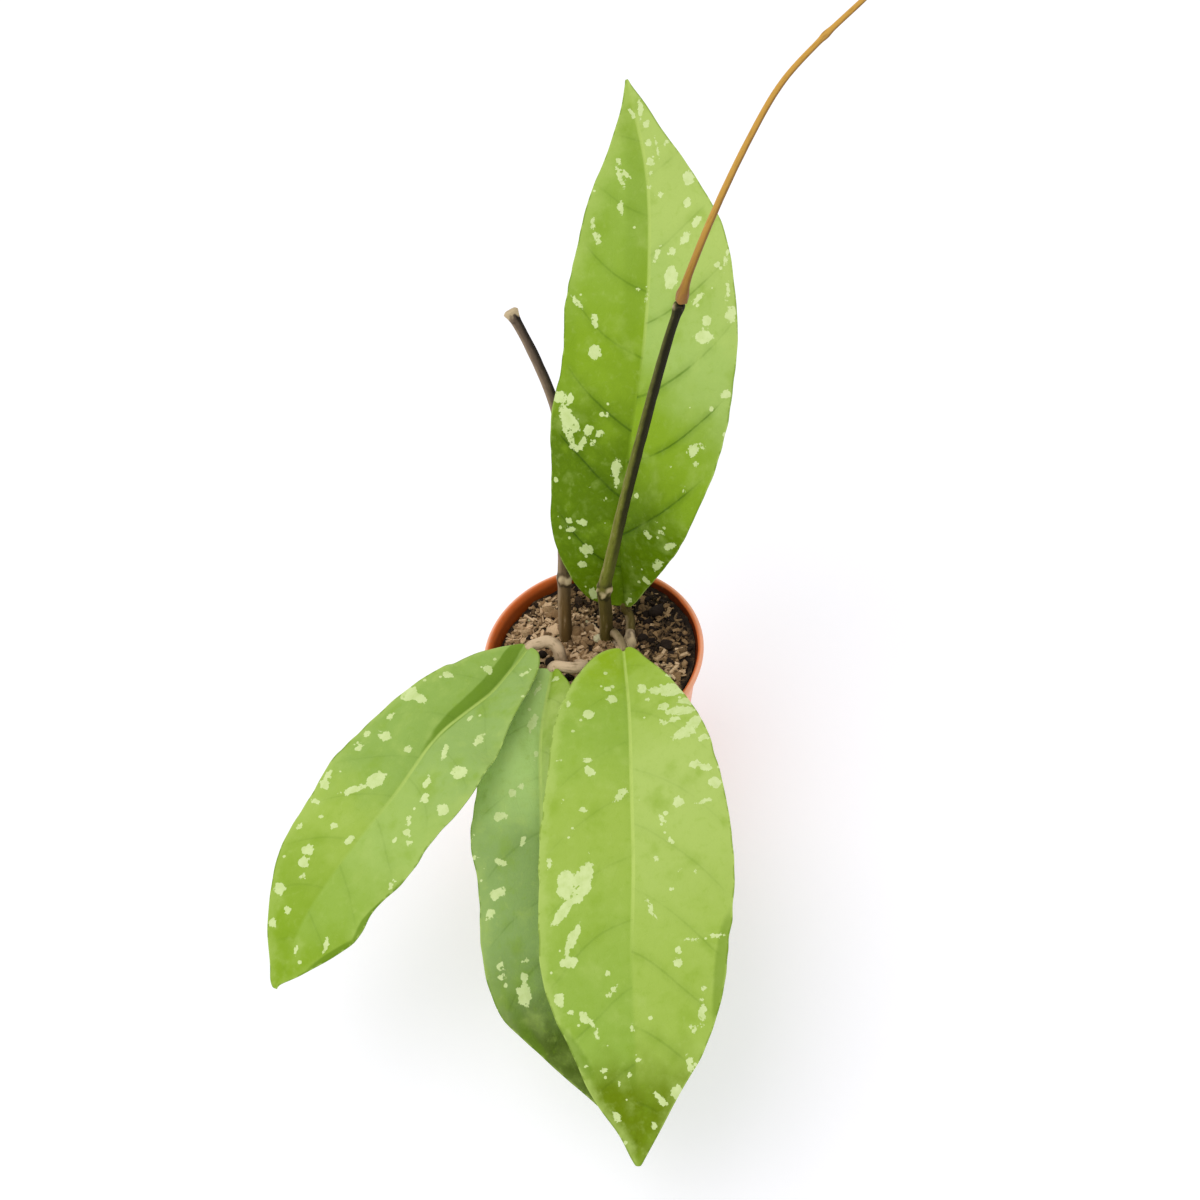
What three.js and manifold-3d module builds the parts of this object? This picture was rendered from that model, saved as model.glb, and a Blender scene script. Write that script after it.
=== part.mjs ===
// A climbing plant with four long leaves on two woody stems, growing in a small plastic nursery pot.
// Millimetres, +Z up. The origin is the centre of the pot's underside, and -Y faces the viewer.
import * as THREE from "three";
import { mergeVertices } from "three/addons/utils/BufferGeometryUtils.js";
import Module from "manifold-3d";

const wasm = await Module();
wasm.setup();

// Driving dimensions

const POT = {
  rimRadius: 45,
  height: 78,
  lipRadius: 1.2,
  lipSteps: 4,
  // A short band under the lip, a little inside it, steps in over its slope to the tapered wall.
  bandHeight: 4,
  bandInset: 0.7,
  bandStep: 1.3,
  bandSlope: 0.8,
  baseRadius: 29.5,
  wall: 1.3,
  floor: 1.6,
  drainRadius: 3.5,
  drainRing: 20,
  drains: 8,
  drainSides: 16,
  sides: 40,
};

// The soil's top rises to the right by a share, rises all round to its rim, and has humps.
const SOIL = {
  top: 70.8,
  rise: 0.04,
  dish: 3,
  dishRadius: 40,
  humps: 0.6,
  rimDepth: 1,
  seed: 11,
  chips: 56,
  chipSize: [5.5, 2.4, 1.7],
  grains: 22,
  grainRadius: 1.3,
  litterTilt: 0.7,
  litterProud: 0.25,
  litterMargin: 6,
  sides: 32,
  rings: 6,
};

// Pieces that touch keep this gap, and the soil keeps it round whatever stands in it.
const GAP = 0.3;
const HOLE_CLEARANCE = 0.35;

const STEM_SIDES = 10;
const STALK_SIDES = 8;

// Each route runs from its foot to its top. A knuckle is a swelling: its place along the route from 0 to 1,
// how far it stands out and how long it is, as a share of the route.
const RIGHT_STEM = {
  route: [[6, 9.5, 40], [6.6, 10, 70], [8.2, 11, 84.8], [9.3, 12, 99.3], [13.6, 12.5, 114.1],
    [24.7, 14, 150.5], [39, 16, 194], [47.5, 18, 217.5], [53.5, 19, 233]],
  radius: [3, 1.6],
  knuckles: [[0.3, 0.8, 0.016], [0.99, 0.5, 0.012]],
  steps: 36,
};
const LEFT_STEM = {
  route: [[-12, 10, 40], [-9.8, 14.6, 70], [-8, 19.8, 83], [-5.2, 27.5, 96], [-2, 36.5, 109],
    [3.6, 53, 131], [4.8, 67, 150], [0.6, 80, 168.5], [-5, 90, 184.7]],
  radius: [3, 1.9],
  knuckles: [[0.34, 0.7, 0.014], [1, 1.2, 0.02]],
  steps: 34,
};
// The young vine carries on from the right stem's top with a long swollen foot, and ends in a closed bud.
const VINE = {
  route: [[58, 19, 245.7], [68.7, 19, 269.6], [80.2, 18, 293.1], [91.7, 18, 311.8], [104, 17, 325],
    [117.4, 16, 336.7], [128, 15.5, 346], [138, 14, 354.5]],
  radius: [1.35, 0.75],
  knuckles: [[0, 0.95, 0.045], [0.72, 0.3, 0.012], [0.985, 0.7, 0.02]],
  steps: 60,
};
// The swollen knuckle low on the right stem, which the rear leaf's stalk grows from.
const SHOULDER = {
  route: [[6.8, 9, 66], [11, 6, 70], [14.8, 3.5, 71.6], [16, 5.2, 74.6], [16.8, 8.4, 76]],
  radius: [3, 1.6],
  knuckles: [[0.62, 0.9, 0.25]],
  steps: 8,
};

// A leaf's midrib runs from its stalk to its tip. Its half widths are given at even stations that lie
// closer together towards the base and the tip, and its folds at even shares of its length, in degrees.
// A wave is a count along the margin, its height and its start. Left and right are as seen from the base,
// with the upper face up. The stalk runs up to the blade's base.
const LEAVES = {
  leaf_rear: {
    midrib: [[16.5, 17, 82.5], [20, 24.5, 117.5], [30, 40, 148], [42, 62.5, 173], [51.5, 88.5, 195],
      [57.5, 115.5, 217.5], [57, 142, 241.5]],
    right: [2.6, 6, 11.5, 20.5, 30.5, 37.1, 39.6, 38.5, 34.5, 29.5, 19, 9.6, 4.9, 1.5, 0.4],
    left: [2.6, 13.5, 20, 25.5, 29.5, 32, 33, 32, 32, 27.5, 21.5, 12.5, 5, 1.5, 0.4],
    foldRight: [26, 16, 8, 6],
    foldLeft: [26, 16, 8, 6],
    waveRight: [4.5, 1.4, 0.1],
    waveLeft: [5, 1.2, 0.45],
    colour: "#86ab3f",
    stalk: {
      route: [[15.6, 4.4, 72.5], [16.8, 8.4, 75.6], [17.6, 12.8, 76.2], [17.4, 15.6, 77.6]],
      radius: [2.1, 1.8],
      steps: 10,
    },
  },
  leaf_front: {
    midrib: [[12, -8.5, 84], [9, -42, 89], [4, -76, 90], [-1.5, -109.5, 87], [-8.5, -142, 80.5],
      [-14, -174, 70], [-20, -204.5, 55]],
    right: [2.6, 10.5, 17.5, 24.5, 29, 31.5, 33.5, 34.5, 33.5, 30.5, 22.5, 15, 6.5, 2.5, 0.4],
    left: [2.6, 6, 10.5, 18.5, 26.5, 32.2, 35.4, 36.6, 35.1, 32.1, 25.1, 14.6, 7.2, 2.5, 0.4],
    foldRight: [24, 10, 4, 10],
    foldLeft: [24, 10, 4, 10],
    waveRight: [4.5, 1.3, 0.3],
    waveLeft: [5, 1.5, 0],
    colour: "#9dc045",
    stalk: {
      route: [[7.6, 11, 71], [9.9, 8, 76.4], [11.6, 0.5, 80.4]],
      radius: [1.7, 1.7],
      steps: 9,
    },
  },
  leaf_left: {
    midrib: [[-25.5, 2, 84], [-42.5, -19.5, 89], [-65, -36.5, 91], [-83.5, -57.5, 89.5],
      [-104, -76.5, 85], [-123, -96.5, 79.5], [-138, -118, 70]],
    right: [2.6, 6, 12, 19.5, 23, 23.7, 27.5, 29.6, 28.5, 25, 18.4, 12, 6, 3, 0.4],
    left: [2.6, 7, 10.5, 13, 17.5, 25.5, 28.5, 25.5, 27, 23.6, 24.5, 17.5, 8.8, 1.5, 0.4],
    foldRight: [40, 22, 10, 10],
    foldLeft: [22, 8, 4, 10],
    waveRight: [4, 1.2, 0.2],
    waveLeft: [5, 1.8, 0.35],
    colour: "#8fb550",
    stalk: {
      route: [[-10.4, 13.1, 60], [-12.6, 4.4, 66], [-13.3, 0.6, 70.5], [-13.5, 1, 74.5], [-13.6, 2.7, 78.6],
        [-15, 4.6, 81.2], [-17.6, 5.6, 82.4], [-20.8, 4.9, 83]],
      radius: [2.8, 2.4],
      steps: 24,
    },
  },
  leaf_middle: {
    midrib: [[-17.7, -8, 79.6], [-26, -37.5, 81.5], [-31, -68, 78], [-35, -98.5, 71.5], [-35.5, -128, 62],
      [-31.5, -157, 50.5], [-23.5, -183, 36]],
    right: [2.6, 10, 15, 18, 21, 24.5, 27, 24.8, 26.3, 25.2, 15.6, 8, 3.5, 1.5, 0.4],
    left: [2.6, 5, 10, 13.5, 18, 23.5, 26.5, 26, 25, 22, 15, 8, 3.5, 1.5, 0.4],
    foldRight: [22, 12, 6, 8],
    foldLeft: [22, 12, 6, 8],
    waveRight: [5, 1.2, 0.15],
    waveLeft: [4.5, 1, 0.4],
    colour: "#7d9f55",
    stalk: {
      route: [[-10, 12.5, 62], [-7.6, 4, 66.5], [-5, -2, 71.5], [-4.6, -5.8, 75.6], [-6, -8, 78.4],
        [-9, -8.4, 79.7], [-12, -7.8, 80.3], [-14.8, -6.4, 80.2]],
      radius: [2.6, 2.3],
      steps: 22,
    },
  },
};

const BLADE = {
  thickness: 0.9,
  rows: 32,
  columns: 12,
  // How much of the fold's rise is lost again by the margin, which lies flatter than the blade's middle.
  levelling: 0.5,
  // The midrib stands out below as a keel, and both fade from the thick base end towards the tip.
  keel: 1.3,
  baseSwell: 1,
  baseSwellLength: 0.02,
};

// How far a stalk runs straight on into its blade.
const STALK_LEAD = 2.4;

// Curves and solids

const UP = new THREE.Vector3(0, 0, 1);

function curveThrough(points) {
  return new THREE.CatmullRomCurve3(points.map((p) => new THREE.Vector3(...p)), false, "catmullrom", 0.5);
}

// A value that runs smoothly through a list of numbers, read at a share from 0 to 1.
function along(list, share) {
  const curve = curveThrough(list.map((value) => [value, 0, 0]));
  return curve.getPoint(share).x;
}

// The geometry with shared vertices merged and collapsed triangles dropped.
function welded(geometry) {
  const bare = geometry.clone();
  bare.deleteAttribute("normal");
  bare.deleteAttribute("uv");
  const merged = mergeVertices(bare, 1e-4);
  const old = merged.index.array;
  const kept = [];
  for (let i = 0; i < old.length; i += 3) {
    const [a, b, c] = old.slice(i, i + 3);
    if (a !== b && b !== c && c !== a) kept.push(a, b, c);
  }
  merged.setIndex(kept);
  return merged;
}

function solid(geometry) {
  const closed = welded(geometry);
  const vertProperties = new Float32Array(closed.attributes.position.array);
  return new wasm.Manifold(
    new wasm.Mesh({ numProp: 3, vertProperties, triVerts: new Uint32Array(closed.index.array) }),
  );
}

function geometryOf(body) {
  const mesh = body.getMesh();
  const geometry = new THREE.BufferGeometry();
  geometry.setAttribute("position", new THREE.BufferAttribute(mesh.vertProperties, 3));
  geometry.setIndex(new THREE.BufferAttribute(mesh.triVerts, 1));
  geometry.computeVertexNormals();
  return geometry;
}

function largestBody(body) {
  return body.decompose().reduce((best, piece) => (piece.volume() > best.volume() ? piece : best));
}

// A repeatable draw from 0 to 1.
function dice(seed) {
  let state = seed >>> 0;
  return () => {
    state = (state * 1664525 + 1013904223) >>> 0;
    return state / 4294967296;
  };
}

function knuckleHeight(knuckles, share) {
  let height = 0;
  for (const [at, size, width] of knuckles) height += size * Math.exp(-(((share - at) / width) ** 2));
  return height;
}

// A tapered limb: a cylinder bent along the route, with its two ends closed flat.
function limb({ route, radius, knuckles = [], steps }, sides, clearance = 0) {
  const curve = curveThrough(route);
  const frames = curve.computeFrenetFrames(steps, false);
  const geometry = new THREE.CylinderGeometry(1, 1, 1, sides, steps);
  const position = geometry.attributes.position;
  const point = new THREE.Vector3();
  for (let i = 0; i < position.count; i++) {
    const step = Math.round((position.getY(i) + 0.5) * steps);
    const share = step / steps;
    const taper = THREE.MathUtils.lerp(radius[0], radius[1], share);
    const reach = taper + knuckleHeight(knuckles, share) + clearance;
    const across = position.getX(i) * reach;
    const up = position.getZ(i) * reach;
    point.copy(curve.getPointAt(share));
    point.addScaledVector(frames.binormals[step], across).addScaledVector(frames.normals[step], up);
    position.setXYZ(i, point.x, point.y, point.z);
  }
  return geometry;
}

// Leaves

// The point of a leaf's middle sheet at a station from 0 at the base to 1 at the tip, and at a share from
// -1 at the left margin to 1 at the right margin, with the direction of its upper face.
function sheetPoint(leaf, station, share) {
  const length = (1 - Math.cos(Math.PI * station)) / 2;
  const curve = curveThrough(leaf.midrib);
  const tangent = curve.getTangent(length);
  const side = new THREE.Vector3().crossVectors(tangent, UP).normalize();
  const normal = new THREE.Vector3().crossVectors(side, tangent);
  const width = along(share < 0 ? leaf.left : leaf.right, station);
  const fold = THREE.MathUtils.degToRad(along(share < 0 ? leaf.foldLeft : leaf.foldRight, length));
  const [count, height, start] = share < 0 ? leaf.waveLeft : leaf.waveRight;
  const out = Math.abs(share);
  const calmEnds = Math.min(1, 6 * length, 6 * (1 - length));
  const wave = height * Math.sin(2 * Math.PI * (count * length + start)) * out * out * calmEnds;
  const rise = width * Math.sin(fold) * (out - BLADE.levelling * out * out) + wave;
  const point = curve.getPoint(length);
  point.addScaledVector(side, width * share * Math.cos(fold)).addScaledVector(normal, rise);
  return { point, normal, length };
}

// A blade: one grid for each face, split into triangles alike, and a rim of quads round the margin.
function blade(leaf) {
  const { rows, columns } = BLADE;
  const grid = new THREE.PlaneGeometry(2, 1, columns, rows);
  const flat = grid.attributes.position;
  const count = flat.count;
  const corners = new Float32Array(count * 6);
  for (let i = 0; i < count; i++) {
    const { point, normal, length } = sheetPoint(leaf, flat.getY(i) + 0.5, flat.getX(i));
    const swell = BLADE.baseSwell * Math.exp(-length / BLADE.baseSwellLength);
    const keel = Math.abs(flat.getX(i)) < 1e-6 ? BLADE.keel * (1 - length) : 0;
    const upper = point.clone().addScaledVector(normal, BLADE.thickness / 2 + swell);
    const lower = point.clone().addScaledVector(normal, -BLADE.thickness / 2 - swell - keel);
    upper.toArray(corners, i * 3);
    lower.toArray(corners, (count + i) * 3);
  }
  const triangles = [];
  const faces = grid.index.array;
  for (let i = 0; i < faces.length; i += 3) {
    const [a, b, c] = faces.slice(i, i + 3);
    triangles.push(a, b, c, count + a, count + c, count + b);
  }
  const rim = rimLoop(rows, columns);
  rim.forEach((a, i) => {
    const b = rim[(i + 1) % rim.length];
    triangles.push(count + a, count + b, b, count + a, b, a);
  });
  const geometry = new THREE.BufferGeometry();
  geometry.setAttribute("position", new THREE.BufferAttribute(corners, 3));
  geometry.setIndex(triangles);
  geometry.computeVertexNormals();
  return geometry;
}

// The grid's outer vertices in order, anticlockwise as seen from above.
function rimLoop(rows, columns) {
  const at = (row, column) => row * (columns + 1) + column;
  const loop = [];
  for (let row = 0; row < rows; row++) loop.push(at(row, 0));
  for (let column = 0; column < columns; column++) loop.push(at(rows, column));
  for (let row = rows; row > 0; row--) loop.push(at(row, columns));
  for (let column = columns; column > 0; column--) loop.push(at(0, column));
  return loop;
}

// A leaf's stalk ends square to the blade's base, a gap away from it.
function stalk(leaf) {
  const base = new THREE.Vector3(...leaf.midrib[0]);
  const direction = curveThrough(leaf.midrib).getTangent(0);
  const before = base.clone().addScaledVector(direction, -STALK_LEAD - GAP);
  const end = base.clone().addScaledVector(direction, -GAP);
  return { ...leaf.stalk, route: [...leaf.stalk.route, before.toArray(), end.toArray()] };
}

// Pot and soil

function lathe(profile, sides) {
  const points = profile.map(([r, z]) => new THREE.Vector2(r, z));
  return new THREE.LatheGeometry(points, sides).rotateX(Math.PI / 2);
}

// The tapered wall's outer radius at a height, below the rim's band.
function wallRadius(z) {
  const shoulder = POT.rimRadius - POT.lipRadius - POT.bandStep;
  return THREE.MathUtils.lerp(POT.baseRadius, shoulder, z / (POT.height - POT.bandHeight));
}

function potGeometry() {
  const bandFoot = POT.height - POT.bandHeight;
  const bandRadius = POT.rimRadius - POT.bandInset;
  const shoulder = wallRadius(bandFoot);
  const lipHeight = POT.height - POT.lipRadius;
  const lipCentre = POT.rimRadius - POT.lipRadius;
  const lip = [];
  for (let i = 0; i <= POT.lipSteps; i++) {
    const angle = (i * Math.PI) / POT.lipSteps;
    const [out, up] = [POT.lipRadius * Math.cos(angle), POT.lipRadius * Math.sin(angle)];
    lip.push([lipCentre + out, lipHeight + up]);
  }
  const shell = solid(
    lathe(
      [
        [0, 0],
        [POT.baseRadius, 0],
        [shoulder, bandFoot - POT.bandSlope],
        [bandRadius, bandFoot],
        [bandRadius, lipHeight - POT.bandSlope],
        ...lip,
        [shoulder - POT.wall, bandFoot - POT.bandSlope],
        [wallRadius(POT.floor) - POT.wall, POT.floor],
        [0, POT.floor],
      ],
      POT.sides,
    ),
  );
  const { drainRadius, drainSides, floor } = POT;
  const drain = new THREE.CylinderGeometry(drainRadius, drainRadius, 4 * floor, drainSides);
  drain.rotateX(Math.PI / 2);
  let pot = shell;
  for (let i = 0; i < POT.drains; i++) {
    const angle = (i * 2 * Math.PI) / POT.drains;
    const [x, y] = [POT.drainRing * Math.cos(angle), POT.drainRing * Math.sin(angle)];
    pot = pot.subtract(solid(drain.clone().translate(x, y, 0)));
  }
  return geometryOf(pot);
}

function soilHeight(x, y) {
  const humps = Math.sin(x / 6 + 0.4) * Math.cos(y / 7.5) + 0.6 * Math.sin(x / 3.1 + y / 4.3);
  const dish = (x * x + y * y) / SOIL.dishRadius ** 2;
  return SOIL.top + SOIL.rise * x + SOIL.dish * dish + SOIL.humps * humps;
}

// Bark chips and pale grains lie on the soil, each sunk to about half its height.
function litter(draw) {
  const pieces = [];
  const reach = wallRadius(SOIL.top) - POT.wall - SOIL.litterMargin;
  const tilt = () => SOIL.litterTilt * (draw() - 0.5);
  for (let i = 0; i < SOIL.chips + SOIL.grains; i++) {
    const radius = reach * Math.sqrt(draw());
    const angle = 2 * Math.PI * draw();
    const x = radius * Math.cos(angle);
    const y = radius * Math.sin(angle);
    const size = 0.7 + 0.6 * draw();
    const [length, width, height] = SOIL.chipSize;
    const piece = i < SOIL.chips
      ? new THREE.BoxGeometry(length * size, width * size, height * size)
      : new THREE.IcosahedronGeometry(SOIL.grainRadius * size);
    piece.rotateX(tilt()).rotateY(tilt()).rotateZ(2 * Math.PI * draw());
    pieces.push(solid(piece.translate(x, y, soilHeight(x, y) + SOIL.litterProud)));
  }
  return pieces;
}

function soilGeometry(standing) {
  const inner = (z) => wallRadius(z) - POT.wall - GAP;
  const foot = POT.floor + GAP;
  const edge = SOIL.top - SOIL.rimDepth;
  const profile = [[0, foot], [inner(foot), foot], [inner(edge), edge]];
  for (let ring = 0; ring <= SOIL.rings; ring++) {
    profile.push([inner(SOIL.top) * (1 - ring / SOIL.rings), SOIL.top]);
  }
  const body = lathe(profile, SOIL.sides);
  const position = body.attributes.position;
  for (let i = 0; i < position.count; i++) {
    const above = position.getZ(i) > edge + SOIL.rimDepth / 2;
    if (above) position.setZ(i, soilHeight(position.getX(i), position.getY(i)));
  }
  const heap = wasm.Manifold.union([solid(body), ...litter(dice(SOIL.seed))]);
  return geometryOf(largestBody(wasm.Manifold.difference([heap, ...standing])));
}

// Assembly

function limbsOf(stem, leaves, extra, clearance) {
  const parts = [solid(limb(stem, STEM_SIDES, clearance))];
  for (const name of leaves) parts.push(solid(limb(stalk(LEAVES[name]), STALK_SIDES, clearance)));
  for (const piece of extra) parts.push(solid(limb(piece, STALK_SIDES, clearance)));
  return parts;
}

const rightLimbs = [RIGHT_STEM, ["leaf_rear", "leaf_front"], [SHOULDER]];
const leftLimbs = [LEFT_STEM, ["leaf_left", "leaf_middle"], []];
const holes = [...limbsOf(...rightLimbs, HOLE_CLEARANCE), ...limbsOf(...leftLimbs, HOLE_CLEARANCE)];

const stemTop = curveThrough(RIGHT_STEM.route).getPointAt(1);
const stemHeading = curveThrough(RIGHT_STEM.route).getTangentAt(1);
const vineFoot = stemTop.clone().addScaledVector(stemHeading, GAP);
const vine = { ...VINE, route: [vineFoot.toArray(), ...VINE.route] };

const plant = new THREE.Group();

function add(name, geometry, color, roughness) {
  const mesh = new THREE.Mesh(geometry, new THREE.MeshStandardMaterial({ color, roughness, metalness: 0 }));
  mesh.name = name;
  plant.add(mesh);
}

add("pot", potGeometry(), "#c8764c", 0.5);
add("soil", soilGeometry(holes), "#6b5540", 0.95);
add("stem_right", geometryOf(wasm.Manifold.union(limbsOf(...rightLimbs, 0))), "#8a7350", 0.8);
add("stem_left", geometryOf(wasm.Manifold.union(limbsOf(...leftLimbs, 0))), "#86705a", 0.8);
add("young_vine", limb(vine, STALK_SIDES), "#c08a3a", 0.6);
for (const [name, leaf] of Object.entries(LEAVES)) add(name, blade(leaf), leaf.colour, 0.45);

export default plant;
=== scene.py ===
"""Dresses a potted climbing plant: four long splashed leaves on two woody stems in a small plastic pot."""
import math
import random

import bmesh
import bpy
from bpy.props import FloatProperty, FloatVectorProperty, IntProperty, PointerProperty
from bpy.types import Operator, Panel, PropertyGroup
from mathutils import Euler, Matrix, Quaternion, Vector, noise


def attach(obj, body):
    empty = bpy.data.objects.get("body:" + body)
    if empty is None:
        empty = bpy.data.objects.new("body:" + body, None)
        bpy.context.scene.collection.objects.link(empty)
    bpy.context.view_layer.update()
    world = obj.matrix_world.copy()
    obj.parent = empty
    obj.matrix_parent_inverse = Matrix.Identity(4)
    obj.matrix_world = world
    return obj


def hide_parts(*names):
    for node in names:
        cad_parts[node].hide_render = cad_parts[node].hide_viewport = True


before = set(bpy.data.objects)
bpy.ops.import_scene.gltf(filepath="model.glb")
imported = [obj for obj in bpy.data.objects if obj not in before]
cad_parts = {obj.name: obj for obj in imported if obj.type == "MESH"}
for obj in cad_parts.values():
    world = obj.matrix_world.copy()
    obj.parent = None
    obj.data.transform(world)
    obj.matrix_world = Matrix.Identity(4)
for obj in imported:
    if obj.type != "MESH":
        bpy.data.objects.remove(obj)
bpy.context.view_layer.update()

bl_info = {
    "name": "Potted Climber",
    "version": (1, 0, 0),
    "blender": (4, 5, 0),
    "location": "3D View > Sidebar > Climber",
    "description": "Dresses a potted climbing plant with four long splashed leaves",
    "category": "Add Mesh",
}

# The lists below are in millimetres and degrees. Settings that Blender shows as lengths are in metres.
MM = 0.001
IMAGE_SIZE = 1200
SENSOR = 36
# The soft light's place, its width and the point that it faces, and half the floor's width, in metres.
LIGHT_PLACE = (-0.55, 0.1, 1.45)
LIGHT_SIZE = 1.3
LIGHT_AIM = (0, 0, 0.1)
FLOOR_REACH = 6
FLOOR_CLOUD = (0.8, 0.8, 0.8)
UP = Vector((0, 0, 1))

# Stems and vine

# Each route runs from its foot to its top. A knuckle is a swelling: its place along the route from 0 to 1,
# how far it stands out and how long it is, as a share of the route. Gloom spreads the bark's painted shade
# further round towards the top, and a negative one paints it lighter there. Stalks have a paleness instead,
# and keep the bark of their stem's foot.
RIGHT_STEM = {
    "route": [(6, 9.5, 40), (6.6, 10, 70), (8.2, 11, 84.8), (9.3, 12, 99.3), (13.6, 12.5, 114.1),
              (24.7, 14, 150.5), (39, 16, 194), (47.5, 18, 217.5), (53.5, 19, 233)],
    "radius": (3, 1.6),
    "knuckles": [(0.3, 0.8, 0.016), (0.99, 0.5, 0.012)],
    "gloom": 0.5,
}
LEFT_STEM = {
    "route": [(-12, 10, 40), (-9.8, 14.6, 70), (-8, 19.8, 83), (-5.2, 27.5, 96), (-2, 36.5, 109),
              (3.6, 53, 131), (4.8, 67, 150), (0.6, 80, 168.5), (-5, 90, 184.7)],
    "radius": (3, 1.9),
    "knuckles": [(0.34, 0.7, 0.014), (1, 1.2, 0.02)],
    "gloom": -0.3,
}
SHOULDER = {
    "route": [(6.8, 9, 66), (11, 6, 70), (14.8, 3.5, 71.6), (16, 5.2, 74.6), (16.8, 8.4, 76)],
    "radius": (3, 1.6),
    "knuckles": [(0.62, 0.9, 0.25)],
    "paleness": 0.6,
}
VINE = {
    "route": [(53.7, 19, 233.3), (58, 19, 245.7), (68.7, 19, 269.6), (80.2, 18, 293.1), (91.7, 18, 311.8),
              (104, 17, 325), (117.4, 16, 336.7), (128, 15.5, 346), (138, 14, 354.5)],
    "radius": (1.35, 0.75),
    "knuckles": [(0, 0.95, 0.045), (0.72, 0.3, 0.012), (0.985, 0.7, 0.02)],
}
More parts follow.
